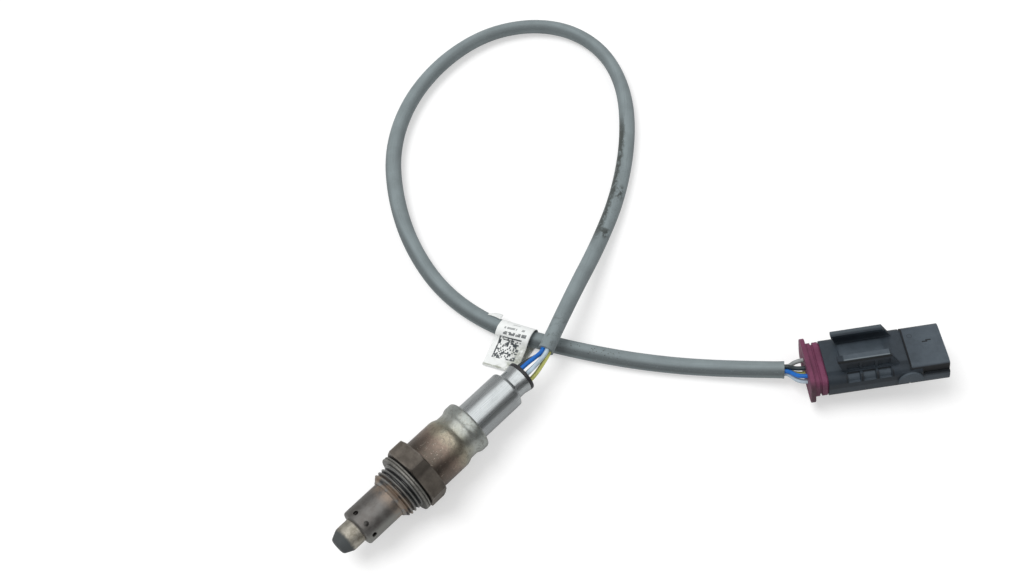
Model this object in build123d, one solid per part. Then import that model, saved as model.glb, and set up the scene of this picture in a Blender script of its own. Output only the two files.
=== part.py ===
from build123d import *
import math
import os

os.makedirs("parts", exist_ok=True)

# Exhaust oxygen sensor with its five wire lead and plug, in millimetres and degrees.
# The sensor's axis is X. Its tip points to -X and its lead leaves to +X.
# The origin is on that axis, in the sealing face of the crush gasket, and +Z is up.

# Gaps between pieces: parts that sit close, and parts that slide in
CLOSE_FIT = 0.05
LOOSE_FIT = 0.1

# Threaded shell and hexagon
THREAD_R = 9.0
THREAD_LENGTH = 6.0
THREAD_CHAMFER = 0.75
RELIEF_R = 8.4
LIP_LENGTH = 1.2
LIP_R = 7.4
HEX_FLATS = 22.0
HEX_LENGTH = 6.5
HEX_TURN = 7.3
HEX_CHAMFER = 0.6
COLLAR_R = 9.1
COLLAR_LENGTH = 9.2
CUP_R = 7.6
CUP_LIP_R = 6.7
STACK_R = 5.9
SHOULDER_R = 5.0
SHOULDER_X = -1.0
SHIELD_SEAT_DEPTH = 4.0

# Crush gasket
GASKET_R = 11.2
GASKET_LENGTH = 2.5
GASKET_CLEARANCE = 0.2
GASKET_SLIT = 0.5
GASKET_SLIT_DEPTH = 1.0

# Protection tubes around the tip
OUTER_SHIELD_R = 6.8
OUTER_SHIELD_WALL = 0.5
OUTER_SHIELD_REACH = 14.6
OUTER_SHIELD_ROUND = 0.9
SHIELD_HOLES = 8
SHIELD_HOLE_R = 0.9
SHIELD_HOLE_SETBACK = 2.65
NOSE_R = 4.65
NOSE_WALL = 0.4
NOSE_REACH = 8.6
NOSE_TAPER = 3.5
NOSE_END_R = 2.3
NOSE_ROUND = 0.7
NOSE_HOLE_R = 0.75
NOSE_SIDE_HOLES = 6

# Ceramic strip and the stack that holds it
ELEMENT_WIDTH = 4.2
ELEMENT_THICKNESS = 1.4
ELEMENT_TIP_GAP = 6.5
ELEMENT_SETBACK = 1.5
SLOT_CLEARANCE = 0.15
FRONT_CERAMIC_LENGTH = 4.0
POWDER_LENGTH = 5.0
REAR_CERAMIC_LENGTH = 8.0
REAR_CERAMIC_TAIL_R = 4.5
REAR_CERAMIC_TAIL = 5.5
PRESS_RING_LENGTH = 1.2

# Stepped front sleeve behind the hexagon
SLEEVE_WALL = 0.55
BARREL_LENGTH = 12.4
WAIST_R = 8.8
WAIST_START = 14.6
WAIST_END = 16.8
BULGE_R = 9.6
BULGE_START = 18.3
FRONT_SLEEVE_LENGTH = 22.0
FRONT_SLEEVE_ROUND = 0.8
SLEEVE_CORNER_SHIFT = 0.33

# Bright rear sleeve with its crimped neck
REAR_SLEEVE_R = 7.0
REAR_SLEEVE_WALL = 0.5
REAR_SLEEVE_VISIBLE = 18.2
REAR_FLANGE_LENGTH = 0.5
NECK_R = 5.15
NECK_SLOPE = 1.4
NECK_LENGTH = 2.2
FLARE_R = 5.7
FLARE_LENGTH = 2.6

# Contact carrier and its clamp
CARRIER_R = 6.3
CARRIER_LENGTH = 17.0
CLAMP_OFFSET = 1.6
CLAMP_LENGTH = 5.0
CLAMP_WALL = 0.6
CONTACT_WIDTH = 0.9
CONTACT_THICKNESS = 0.25
CONTACT_SIDE_PITCH = 1.4
CONTACT_LOW_OFFSET = 0.9
CONTACT_INSET = 2.0
RISER_GAP = 0.4
RISER_LENGTH = 0.8
FERRULE_WALL = 0.35
FERRULE_LENGTH = 3.9

# Grommet in the neck
GROMMET_BODY_LENGTH = 4.2
GROMMET_RING_R = 5.75
GROMMET_RING_LENGTH = 1.4
GROMMET_RING_ROUND = 0.35
GROMMET_HOLE_CIRCLE = 3.0

# Lead
CORD_R = 2.95
SHEATH_WALL = 0.75
WIRE_R = 0.75
WIRE_CIRCLE = 1.38
WIRE_NAMES = ["yellow", "white", "blue", "black", "grey"]
GROMMET_ANGLES = [184.0, 120.0, 66.0, 10.0, -84.0]
SHEATH_ANGLES = [188.0, 116.0, 44.0, -28.0, -100.0]
LAY_TWIST = 90.0
FAN_START = 2.2
FAN_END = 2.2
FAN_LEAD = 1.6
FAN_R = 6.0

# Route of the lead, from the sheath's end at the sensor to its end at the plug
ROUTE = [
    (69.3, 0.9, 0.0),
    (91.0, 9.3, 0.0),
    (115.0, 18.6, -7.0),
    (137.6, 28.8, -9.3),
    (158.5, 43.0, -9.3),
    (174.5, 59.5, -9.3),
    (182.4, 77.3, -9.3),
    (180.9, 94.7, -9.3),
    (170.9, 109.0, -9.3),
    (154.0, 118.8, -9.3),
    (132.5, 121.2, -9.3),
    (110.5, 116.8, -9.3),
    (91.0, 105.4, -9.3),
    (76.6, 88.0, -9.3),
    (66.3, 67.5, -9.3),
    (61.8, 44.3, -9.3),
    (66.6, 20.0, -9.3),
    (79.3, -3.0, -9.3),
    (94.0, -25.0, -9.3),
    (111.0, -45.5, -9.3),
    (126.0, -62.8, -6.0),
]
ARC_SHARE = 0.45

# Film tag looped round the lead
TAG_WIDTH = 12.8
TAG_REACH = 14.4
TAG_FILM = 0.15
TAG_LOOP_R = 3.4
TAG_LIFT = 0.3
TAG_FOLD_R = 0.4
TAG_LEAVE = 165.0
TAG_ROOT = (-5.4, -0.95)
TAG_ALONG = 358.9

# Plug: its own X runs from the cover to the mouth, its own Z points out of the rails
PLUG_PLACE = (130.0, -68.6, -3.8)
PLUG_YAW = -38.9
PLUG_PITCH = -8.0
PLUG_ROLL = -18.0
BODY_WIDTH = 20.4
BODY_HEIGHT = 9.6
BODY_ROUND = 3.0
BODY_LENGTH = 41.9
SHELL_WALL = 1.6
MOUTH_DEPTH = 13.0
MOUTH_ROUND = 1.5
SEAL_PLACE_WIDTH = 15.4
SEAL_PLACE_HEIGHT = 6.4
SEAL_PLACE_ROUND = 2.0
SEAL_PLACE_DEPTH = 6.2
PARTING_SETBACK = 13.6
PARTING_WIDTH = 0.5
PARTING_DEPTH = 0.4
KEYWAY_LENGTH = 9.3
KEYWAY_HEIGHT = 2.9
KEYWAY_DEPTH = 0.9
KEYWAY_LIFT = 2.25
BUMP_R = 4.4
BUMP_HEIGHT = 0.9
BUMP_DROP = 1.2

# Mounting rails of the plug
RAIL_START = 3.7
RAIL_TOP_LENGTH = 17.9
RAIL_SLOPE = 3.9
RAIL_UNDERCUT = 2.0
RAIL_HEIGHT = 6.1
RAIL_OUTER = 6.9
RAIL_WALL = 1.2
RAIL_LIP = 2.4
PAD_HEIGHT = 0.6
PAD_GAP = 0.4
POCKETS = 3
POCKET_PITCH = 5.4
POCKET_RIB = 1.0
POCKET_DEPTH = 0.5
POCKET_HEIGHT = 2.9
SHOULDER_POCKET_DEPTH = 0.7
SHOULDER_POCKET_LIFT = 2.4

# Plum cover behind the plug
FLANGE_EDGE = 1.7
FLANGE_THICKNESS = 1.5
COVER_RIB = 1.8
COVER_GROOVE = 0.85
COVER_GROOVE_DEPTH = 0.7
COVER_RIB_INSET = 0.2
COVER_NECK = 0.45
COVER_NECK_INSET = 0.7
SPIGOT_LENGTH = 2.3

# Terminals of the plug
COLUMN_PITCH = 3.7
ROW_PITCH = 3.0
CAVITY_SIDE = 2.3
PIN_BODY_SIDE = 1.9
PIN_SIDE = 1.0
PIN_BODY_LENGTH = 12.0
PIN_REST = 1.2
PIN_MOUTH_GAP = 6.0
LOCK_THICKNESS = 1.4
CRIMP_WALL = 0.3
CRIMP_LENGTH = 3.4
PLUG_STUB_HEAD = 1.0
WIRE_CELLS = [(0, -1), (-1, -1), (-1, 1), (0, 1), (1, 1)]
SPARE_CELL = (1, -1)

# Places along the sensor, worked out from the sizes above
LIP_X = -(THREAD_LENGTH + LIP_LENGTH)
SHIELD_ROOT_X = LIP_X + SHIELD_SEAT_DEPTH
HEX_X = GASKET_LENGTH
HEX_END_X = HEX_X + HEX_LENGTH
COLLAR_END_X = HEX_END_X + COLLAR_LENGTH
OUTER_SHIELD_X = LIP_X - OUTER_SHIELD_REACH
NOSE_X = OUTER_SHIELD_X - NOSE_REACH
POWDER_X = SHOULDER_X + FRONT_CERAMIC_LENGTH
REAR_CERAMIC_X = POWDER_X + POWDER_LENGTH
PRESS_RING_X = REAR_CERAMIC_X + REAR_CERAMIC_LENGTH
CARRIER_X = PRESS_RING_X + REAR_CERAMIC_TAIL
CARRIER_END_X = CARRIER_X + CARRIER_LENGTH
FRONT_SLEEVE_END_X = HEX_END_X + FRONT_SLEEVE_LENGTH
REAR_SLEEVE_END_X = FRONT_SLEEVE_END_X + REAR_SLEEVE_VISIBLE
NECK_X = REAR_SLEEVE_END_X + NECK_SLOPE
NECK_END_X = NECK_X + NECK_LENGTH
FLARE_END_X = NECK_END_X + FLARE_LENGTH
GROMMET_END_X = FLARE_END_X + GROMMET_RING_LENGTH
RISER_X = CARRIER_END_X + RISER_GAP
FERRULE_X = RISER_X + RISER_LENGTH
ELEMENT_X = NOSE_X + ELEMENT_TIP_GAP
ELEMENT_END_X = CARRIER_END_X - ELEMENT_SETBACK

# Places along the plug
RIB_ONE_X = FLANGE_THICKNESS
GROOVE_X = RIB_ONE_X + COVER_RIB
RIB_TWO_X = GROOVE_X + COVER_GROOVE
COVER_NECK_X = RIB_TWO_X + COVER_RIB
BODY_X = COVER_NECK_X + COVER_NECK
MOUTH_X = BODY_X + BODY_LENGTH
SOCKET_X = MOUTH_X - MOUTH_DEPTH
SPIGOT_END_X = BODY_X + SPIGOT_LENGTH
SEAL_END_X = BODY_X + SEAL_PLACE_DEPTH
CRIMP_X = SEAL_END_X + LOOSE_FIT
PIN_BODY_X = CRIMP_X + CRIMP_LENGTH
PIN_BODY_END_X = PIN_BODY_X + PIN_BODY_LENGTH
PIN_END_X = MOUTH_X - PIN_MOUTH_GAP

PLUG_LOCATION = (
    Location(PLUG_PLACE)
    * Rot(0, 0, PLUG_YAW)
    * Rot(0, PLUG_PITCH, 0)
    * Rot(PLUG_ROLL, 0, 0)
)


def turned(*points):
    """Solid turned about the X axis from a closed profile of (x, radius) points."""
    profile = make_face(Polyline(*points, close=True))
    return revolve(profile, Axis.X, 360)


def ring(start, end, outer, inner):
    """Plain ring on the X axis."""
    return turned((start, inner), (end, inner), (end, outer), (start, outer))


def rod(start, end, radius):
    """Plain rod on the X axis."""
    return turned((start, 0), (end, 0), (end, radius), (start, radius))


def block(x0, x1, y0, y1, z0, z1):
    """Box between two corners."""
    centre = ((x0 + x1) / 2, (y0 + y1) / 2, (z0 + z1) / 2)
    return Location(centre) * Box(x1 - x0, y1 - y0, z1 - z0)


def slab(start, end, width, height, radius):
    """Rounded bar along X, with its section's corners rounded."""
    section = Plane.YZ.offset(start) * RectangleRounded(width, height, radius)
    return extrude(section, end - start)


def slot(start, end, clearance):
    """Room for the ceramic strip, larger than it by the clearance all round."""
    half_width = ELEMENT_WIDTH / 2 + clearance
    half_height = ELEMENT_THICKNESS / 2 + clearance
    return block(start, end, -half_width, half_width, -half_height, half_height)


def radial(angle, radius):
    """Point (y, z) at an angle round the X axis."""
    turn = math.radians(angle)
    return radius * math.cos(turn), radius * math.sin(turn)


def make_hex_shell():
    """Threaded shell with hexagon, rear collar and the stepped bore for the stack."""
    root_r = THREAD_R - THREAD_CHAMFER
    outside = turned(
        (LIP_X, 0),
        (LIP_X, LIP_R),
        (-THREAD_LENGTH, root_r),
        (THREAD_CHAMFER - THREAD_LENGTH, THREAD_R),
        (0, THREAD_R),
        (0, RELIEF_R),
        (HEX_X, RELIEF_R),
        (HEX_X, COLLAR_R),
        (COLLAR_END_X, COLLAR_R),
        (COLLAR_END_X, 0),
    )
    outline = RegularPolygon(HEX_FLATS / 2, 6, major_radius=False)
    section = Plane.YZ.offset(HEX_X) * Rot(0, 0, 90 + HEX_TURN) * outline
    hexagon = extrude(section, HEX_LENGTH)
    corner_r = HEX_FLATS / 2 / math.cos(math.radians(30))
    flat_r = corner_r - 2 * HEX_CHAMFER
    envelope = turned(
        (HEX_X, 0),
        (HEX_X, flat_r),
        (HEX_X + HEX_CHAMFER, corner_r),
        (HEX_END_X - HEX_CHAMFER, corner_r),
        (HEX_END_X, flat_r),
        (HEX_END_X, 0),
    )
    bore = turned(
        (LIP_X, 0),
        (LIP_X, OUTER_SHIELD_R + CLOSE_FIT),
        (SHIELD_ROOT_X, OUTER_SHIELD_R + CLOSE_FIT),
        (SHIELD_ROOT_X, SHOULDER_R),
        (SHOULDER_X, SHOULDER_R),
        (SHOULDER_X, STACK_R + CLOSE_FIT),
        (PRESS_RING_X, STACK_R + CLOSE_FIT),
        (PRESS_RING_X, CUP_R),
        (PRESS_RING_X + PRESS_RING_LENGTH, CUP_R),
        (PRESS_RING_X + PRESS_RING_LENGTH, CUP_LIP_R),
        (COLLAR_END_X, CUP_LIP_R),
        (COLLAR_END_X, 0),
    )
    return outside + (hexagon & envelope) - bore


def make_gasket():
    """Crush gasket: a folded ring with a slit round its rim."""
    body = ring(0, GASKET_LENGTH, GASKET_R, RELIEF_R + GASKET_CLEARANCE)
    rim = GASKET_LENGTH / 2
    slit = turned(
        (rim - GASKET_SLIT / 2, GASKET_R),
        (rim, GASKET_R - GASKET_SLIT_DEPTH),
        (rim + GASKET_SLIT / 2, GASKET_R),
    )
    edges = body.edges().filter_by(GeomType.CIRCLE).group_by(SortBy.RADIUS)[-1]
    return fillet(edges, GASKET_SLIT) - slit


def side_holes(count, centre_x, hole_r, reach, turn=0.0):
    """Radial drillings through a tube on the X axis."""
    holes = []
    for index in range(count):
        angle = turn + 360 * index / count
        place = Location((centre_x, 0, 0)) * Rot(angle, 0, 0) * Location((0, 0, reach / 2))
        holes.append(place * Cylinder(hole_r, reach))
    return holes


def make_outer_shield():
    """Outer protection tube with a rounded front edge and a ring of gas holes."""
    inner_r = OUTER_SHIELD_R - OUTER_SHIELD_WALL
    body = rod(OUTER_SHIELD_X, SHIELD_ROOT_X, OUTER_SHIELD_R)
    front = body.edges().filter_by(GeomType.CIRCLE).group_by(Axis.X)[0]
    body = fillet(front, OUTER_SHIELD_ROUND)
    body -= rod(OUTER_SHIELD_X + OUTER_SHIELD_WALL, SHIELD_ROOT_X, inner_r)
    body -= rod(OUTER_SHIELD_X, SHIELD_ROOT_X, NOSE_R + CLOSE_FIT)
    row_x = OUTER_SHIELD_X + SHIELD_HOLE_SETBACK
    for hole in side_holes(SHIELD_HOLES, row_x, SHIELD_HOLE_R, 2 * OUTER_SHIELD_R, 180 / SHIELD_HOLES):
        body -= hole
    return body


def make_inner_shield():
    """Inner tube whose tapered, drilled nose stands out of the outer tube."""
    flange_r = OUTER_SHIELD_R - OUTER_SHIELD_WALL - CLOSE_FIT
    taper_x = NOSE_X + NOSE_TAPER
    body = turned(
        (NOSE_X, 0),
        (NOSE_X, NOSE_END_R),
        (taper_x, NOSE_R),
        (SHIELD_ROOT_X - NOSE_WALL, NOSE_R),
        (SHIELD_ROOT_X - NOSE_WALL, flange_r),
        (SHIELD_ROOT_X, flange_r),
        (SHIELD_ROOT_X, 0),
    )
    front = body.edges().filter_by(GeomType.CIRCLE).group_by(Axis.X)[0]
    body = fillet(front, NOSE_ROUND)
    body -= turned(
        (NOSE_X + NOSE_WALL, 0),
        (NOSE_X + NOSE_WALL, NOSE_END_R - NOSE_WALL),
        (taper_x, NOSE_R - NOSE_WALL),
        (SHIELD_ROOT_X, NOSE_R - NOSE_WALL),
        (SHIELD_ROOT_X, 0),
    )
    body -= rod(NOSE_X, NOSE_X + NOSE_TAPER, NOSE_HOLE_R)
    row_x = (OUTER_SHIELD_X + SHIELD_ROOT_X) / 2
    for hole in side_holes(NOSE_SIDE_HOLES, row_x, NOSE_HOLE_R, 2 * NOSE_R):
        body -= hole
    return body


def make_element():
    """Planar ceramic strip that senses at its front end."""
    return slot(ELEMENT_X, ELEMENT_END_X, 0)


def make_front_ceramic():
    """Ceramic bush at the front of the stack."""
    body = rod(SHOULDER_X, POWDER_X, STACK_R)
    return body - slot(SHOULDER_X, POWDER_X, SLOT_CLEARANCE)


def make_powder_seal():
    """Pressed powder ring that seals the strip."""
    body = rod(POWDER_X, REAR_CERAMIC_X, STACK_R)
    return body - slot(POWDER_X, REAR_CERAMIC_X, 0)


def make_rear_ceramic():
    """Ceramic bush with a narrower tail that carries the contact carrier."""
    body = rod(REAR_CERAMIC_X, PRESS_RING_X, STACK_R)
    body += rod(PRESS_RING_X, CARRIER_X, REAR_CERAMIC_TAIL_R)
    return body - slot(REAR_CERAMIC_X, CARRIER_X, SLOT_CLEARANCE)


def make_press_ring():
    """Steel ring that the shell's rolled edge presses on the stack."""
    inner = REAR_CERAMIC_TAIL_R + LOOSE_FIT
    return ring(PRESS_RING_X, PRESS_RING_X + PRESS_RING_LENGTH, CUP_R, inner)


def sleeve_outline(offset):
    """Outline of the front sleeve, moved inwards by an offset, as (x, radius) points."""
    shift = SLEEVE_CORNER_SHIFT * offset
    barrel_r = COLLAR_R + CLOSE_FIT + SLEEVE_WALL - offset
    return [
        (HEX_END_X, barrel_r),
        (HEX_END_X + BARREL_LENGTH - shift, barrel_r),
        (HEX_END_X + WAIST_START - shift, WAIST_R - offset),
        (HEX_END_X + WAIST_END + shift, WAIST_R - offset),
        (HEX_END_X + BULGE_START + shift, BULGE_R - offset),
        (FRONT_SLEEVE_END_X - offset, BULGE_R - offset),
    ]


def make_front_sleeve():
    """Heat tinted sleeve: barrel, waist and rear bulge, closed round the rear sleeve."""
    body = turned((HEX_END_X, 0), *sleeve_outline(0), (FRONT_SLEEVE_END_X, 0))
    rim = body.edges().filter_by(GeomType.CIRCLE).group_by(Axis.X)[-1]
    body = fillet(rim, FRONT_SLEEVE_ROUND)
    body -= turned((HEX_END_X, 0), *sleeve_outline(SLEEVE_WALL), (FRONT_SLEEVE_END_X - SLEEVE_WALL, 0))
    return body - rod(HEX_END_X, FRONT_SLEEVE_END_X, REAR_SLEEVE_R + CLOSE_FIT)


def make_rear_sleeve():
    """Bright drawn sleeve with a front flange, a crimped neck and a flared end."""
    seat_x = FRONT_SLEEVE_END_X - SLEEVE_WALL
    flange_r = BULGE_R - SLEEVE_WALL - FRONT_SLEEVE_ROUND
    outer = [
        (seat_x - REAR_FLANGE_LENGTH, flange_r),
        (seat_x, flange_r),
        (seat_x, REAR_SLEEVE_R),
        (REAR_SLEEVE_END_X, REAR_SLEEVE_R),
        (NECK_X, NECK_R),
        (NECK_END_X, NECK_R),
        (FLARE_END_X, FLARE_R),
    ]
    inner = [
        (FLARE_END_X, FLARE_R - REAR_SLEEVE_WALL),
        (NECK_END_X, NECK_R - REAR_SLEEVE_WALL),
        (NECK_X, NECK_R - REAR_SLEEVE_WALL),
        (REAR_SLEEVE_END_X, REAR_SLEEVE_R - REAR_SLEEVE_WALL),
        (seat_x - REAR_FLANGE_LENGTH, REAR_SLEEVE_R - REAR_SLEEVE_WALL),
    ]
    return turned(*outer, *inner)


def make_carrier(side):
    """One half of the ceramic contact carrier: side 1 is above the strip, -1 below."""
    body = rod(CARRIER_X, CARRIER_END_X, CARRIER_R)
    half_width = ELEMENT_WIDTH / 2 + SLOT_CLEARANCE
    half_height = ELEMENT_THICKNESS / 2 + CONTACT_THICKNESS + SLOT_CLEARANCE
    body -= block(CARRIER_X, CARRIER_END_X, -half_width, half_width, -half_height, half_height)
    low, high = (0, CARRIER_R) if side > 0 else (-CARRIER_R, 0)
    return body & block(CARRIER_X, CARRIER_END_X, -CARRIER_R, CARRIER_R, low, high)


def make_clamp_ring():
    """Spring ring that holds both carrier halves on the strip."""
    start = CARRIER_X + CLAMP_OFFSET
    inner = CARRIER_R + CLOSE_FIT
    return ring(start, start + CLAMP_LENGTH, inner + CLAMP_WALL, inner)


def contact_rows():
    """Where each contact's strip lies: (y, side), in the order of the wires."""
    return [
        (-CONTACT_LOW_OFFSET, -1),
        (-CONTACT_SIDE_PITCH, 1),
        (0.0, 1),
        (CONTACT_SIDE_PITCH, 1),
        (CONTACT_LOW_OFFSET, -1),
    ]


def make_contact(index):
    """Leaf on the strip, a riser behind the carrier and a ferrule on the wire."""
    leaf_y, side = contact_rows()[index]
    wire_y, wire_z = radial(GROMMET_ANGLES[index], GROMMET_HOLE_CIRCLE)
    low = ELEMENT_THICKNESS / 2
    high = low + CONTACT_THICKNESS
    z0, z1 = (low, high) if side > 0 else (-high, -low)
    leaf = block(CARRIER_X + CONTACT_INSET, FERRULE_X, leaf_y - CONTACT_WIDTH / 2, leaf_y + CONTACT_WIDTH / 2, z0, z1)
    leaf_z = (z0 + z1) / 2
    span = math.hypot(wire_y - leaf_y, wire_z - leaf_z)
    lean = math.degrees(math.atan2(wire_z - leaf_z, wire_y - leaf_y))
    middle = (RISER_X + RISER_LENGTH / 2, (wire_y + leaf_y) / 2, (wire_z + leaf_z) / 2)
    riser = Location(middle) * Rot(lean, 0, 0) * Box(RISER_LENGTH, span, CONTACT_WIDTH)
    inner = WIRE_R + CLOSE_FIT
    ferrule = rod(RISER_X, FERRULE_X + FERRULE_LENGTH, inner + FERRULE_WALL)
    ferrule -= rod(FERRULE_X, FERRULE_X + FERRULE_LENGTH, inner)
    return leaf + riser + Location((0, wire_y, wire_z)) * ferrule


def make_grommet():
    """Rubber grommet: body in the sleeve, waist in the neck and a ring outside."""
    body_end = REAR_SLEEVE_END_X
    neck_r = NECK_R - REAR_SLEEVE_WALL - CLOSE_FIT
    body_r = REAR_SLEEVE_R - REAR_SLEEVE_WALL - CLOSE_FIT
    body = rod(body_end - GROMMET_BODY_LENGTH, body_end, body_r)
    body += rod(body_end, FLARE_END_X, neck_r)
    ring_part = rod(FLARE_END_X, GROMMET_END_X, GROMMET_RING_R)
    edges = ring_part.edges().filter_by(GeomType.CIRCLE)
    body += fillet(edges, GROMMET_RING_ROUND)
    for angle in GROMMET_ANGLES:
        y, z = radial(angle, GROMMET_HOLE_CIRCLE)
        hole = rod(body_end - GROMMET_BODY_LENGTH, GROMMET_END_X, WIRE_R + CLOSE_FIT)
        body -= Location((0, y, z)) * hole
    return body


def route_radii(points):
    """Arc radius at each inner point of a route, as large as its two runs allow."""
    radii = []
    for before, here, after in zip(points, points[1:], points[2:]):
        turn = math.radians((here - before).get_angle(after - here))
        shorter = min((here - before).length, (after - here).length)
        radii.append(ARC_SHARE * shorter / math.tan(turn / 2))
    return radii


def offset_route(points, radii, offset):
    """Route beside another: its offset turns with the route and winds slowly round it."""
    moved = [points[0] + offset]
    moved_radii = []
    for index, radius in enumerate(radii):
        before, here, after = points[index:index + 3]
        first = (here - before).normalized()
        second = (after - here).normalized()
        axis = first.cross(second).normalized()
        turn = math.radians(first.get_angle(second))
        inward = axis.cross(first)
        share = offset.dot(inward)
        rise = offset.dot(axis)
        bisector = (second - first).normalized()
        moved.append(here + axis * rise + bisector * (share / math.cos(turn / 2)))
        moved_radii.append(radius - share)
        offset = axis * rise + axis.cross(second) * share
        offset = offset.rotate(Axis((0, 0, 0), second), LAY_TWIST / len(radii))
    moved.append(points[-1] + offset)
    return moved, moved_radii


def tube(points, radii, radius):
    """Round tube along straight runs joined by tangent arcs."""
    path = FilletPolyline(*points, radius=radii)
    section = Plane(points[0], z_dir=points[1] - points[0]) * Circle(radius)
    return sweep(section, path)


ROUTE_POINTS = [Vector(*point) for point in ROUTE]
ROUTE_RADII = route_radii(ROUTE_POINTS)


def make_sheath():
    """Grey outer sheath of the lead, a plain tube."""
    outer = tube(ROUTE_POINTS, ROUTE_RADII, CORD_R)
    return outer - tube(ROUTE_POINTS, ROUTE_RADII, CORD_R - SHEATH_WALL)


def start_offset(index):
    """Where a wire lies in the sheath at its start, seen from the sheath's middle."""
    along = (ROUTE_POINTS[1] - ROUTE_POINTS[0]).normalized()
    side = Vector(0, 0, 1).cross(along).normalized()
    up = along.cross(side)
    y, z = radial(SHEATH_ANGLES[index], WIRE_CIRCLE)
    return side * y + up * z


def plug_point(x, column, row):
    """Point in the plug, x along it, in one of its cells."""
    local = Location((x, column * COLUMN_PITCH, row * ROW_PITCH / 2))
    return (PLUG_LOCATION * local).position


def wire_route(index):
    """Whole route of one wire, from its ferrule to its crimp in the plug."""
    moved, moved_radii = offset_route(ROUTE_POINTS, ROUTE_RADII, start_offset(index))
    y, z = radial(GROMMET_ANGLES[index], GROMMET_HOLE_CIRCLE)
    column, row = WIRE_CELLS[index]
    last = (moved[-1] - moved[-2]).normalized()
    first = (moved[1] - moved[0]).normalized()
    head = [
        Vector(FERRULE_X, y, z),
        Vector(GROMMET_END_X + FAN_START, y, z),
        moved[0] - first * FAN_LEAD,
    ]
    tail = [
        moved[-1] + last * FAN_LEAD,
        plug_point(-FAN_END, column, row),
        plug_point(PIN_BODY_X, column, row),
    ]
    points = head + moved[1:-1] + tail
    ends = [min(radius, FAN_R) for radius in route_radii(points)]
    return points, ends[:2] + moved_radii + ends[-2:]


def make_wire(index):
    """One insulated wire."""
    points, radii = wire_route(index)
    return tube(points, radii, WIRE_R)


def make_tag():
    """Film tag: a loop round the lead that runs out into a flat flag lying on the surface."""
    path = FilletPolyline(*ROUTE_POINTS, radius=ROUTE_RADII)
    place = path.position_at(TAG_ALONG, PositionMode.LENGTH)
    along = path.tangent_at(TAG_ALONG, PositionMode.LENGTH)
    centre = Location(place) * Rot(0, 0, math.degrees(math.atan2(along.Y, along.X)))
    bottom = TAG_LIFT - TAG_LOOP_R
    turn = math.radians(TAG_LEAVE)
    low = (0.0, bottom)
    far = (TAG_LOOP_R, TAG_LIFT)
    leave = (TAG_LOOP_R * math.cos(turn), TAG_LIFT + TAG_LOOP_R * math.sin(turn))
    fold = TAG_FOLD_R + TAG_FILM - TAG_REACH
    fold_z = bottom + TAG_FOLD_R
    edge = ThreePointArc(low, far, leave)
    edge += TangentArc(leave, TAG_ROOT, tangent=(-math.sin(turn), math.cos(turn)))
    edge += Line(TAG_ROOT, (fold, fold_z + TAG_FOLD_R))
    edge += ThreePointArc((fold, fold_z + TAG_FOLD_R), (fold - TAG_FOLD_R, fold_z), (fold, bottom))
    edge += Line((fold, bottom), low)
    inside = make_face(edge)
    section = offset(inside, TAG_FILM) - inside
    return extrude(centre * (Plane.YZ * section), TAG_WIDTH / 2, both=True)


def rail(side):
    """One mounting rail with its inward lip and its pocketed outer face."""
    top = BODY_HEIGHT / 2 + RAIL_HEIGHT
    foot = BODY_HEIGHT / 2 - RAIL_WALL / 2
    start = BODY_X + RAIL_START
    outline = make_face(
        Polyline(
            (start + RAIL_UNDERCUT, foot),
            (start, top - RAIL_WALL),
            (start, top),
            (start + RAIL_TOP_LENGTH, top),
            (start + RAIL_TOP_LENGTH + RAIL_SLOPE, foot),
            close=True,
        )
    )
    inner = RAIL_OUTER - RAIL_WALL
    wall = extrude(Plane.XZ.offset(-inner) * outline, -RAIL_WALL)
    lip = extrude(Plane.XZ.offset(-(RAIL_OUTER - RAIL_LIP)) * outline, -RAIL_LIP)
    lip &= block(start, MOUTH_X, 0, RAIL_OUTER, top - RAIL_WALL, top)
    body = wall + lip
    for index in range(POCKETS):
        x0 = start + RAIL_UNDERCUT + POCKET_RIB + index * POCKET_PITCH
        x1 = x0 + POCKET_PITCH - POCKET_RIB
        z0 = BODY_HEIGHT / 2 + PAD_HEIGHT
        body -= block(x0, x1, RAIL_OUTER - POCKET_DEPTH, RAIL_OUTER, z0, z0 + POCKET_HEIGHT)
    return body if side > 0 else mirror(body, Plane.XZ)


def body_skin(depth):
    """Outer layer of the plug's body."""
    body = slab(BODY_X, MOUTH_X, BODY_WIDTH, BODY_HEIGHT, BODY_ROUND)
    return body - slab(BODY_X, MOUTH_X, BODY_WIDTH - 2 * depth, BODY_HEIGHT - 2 * depth, BODY_ROUND - depth)


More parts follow.
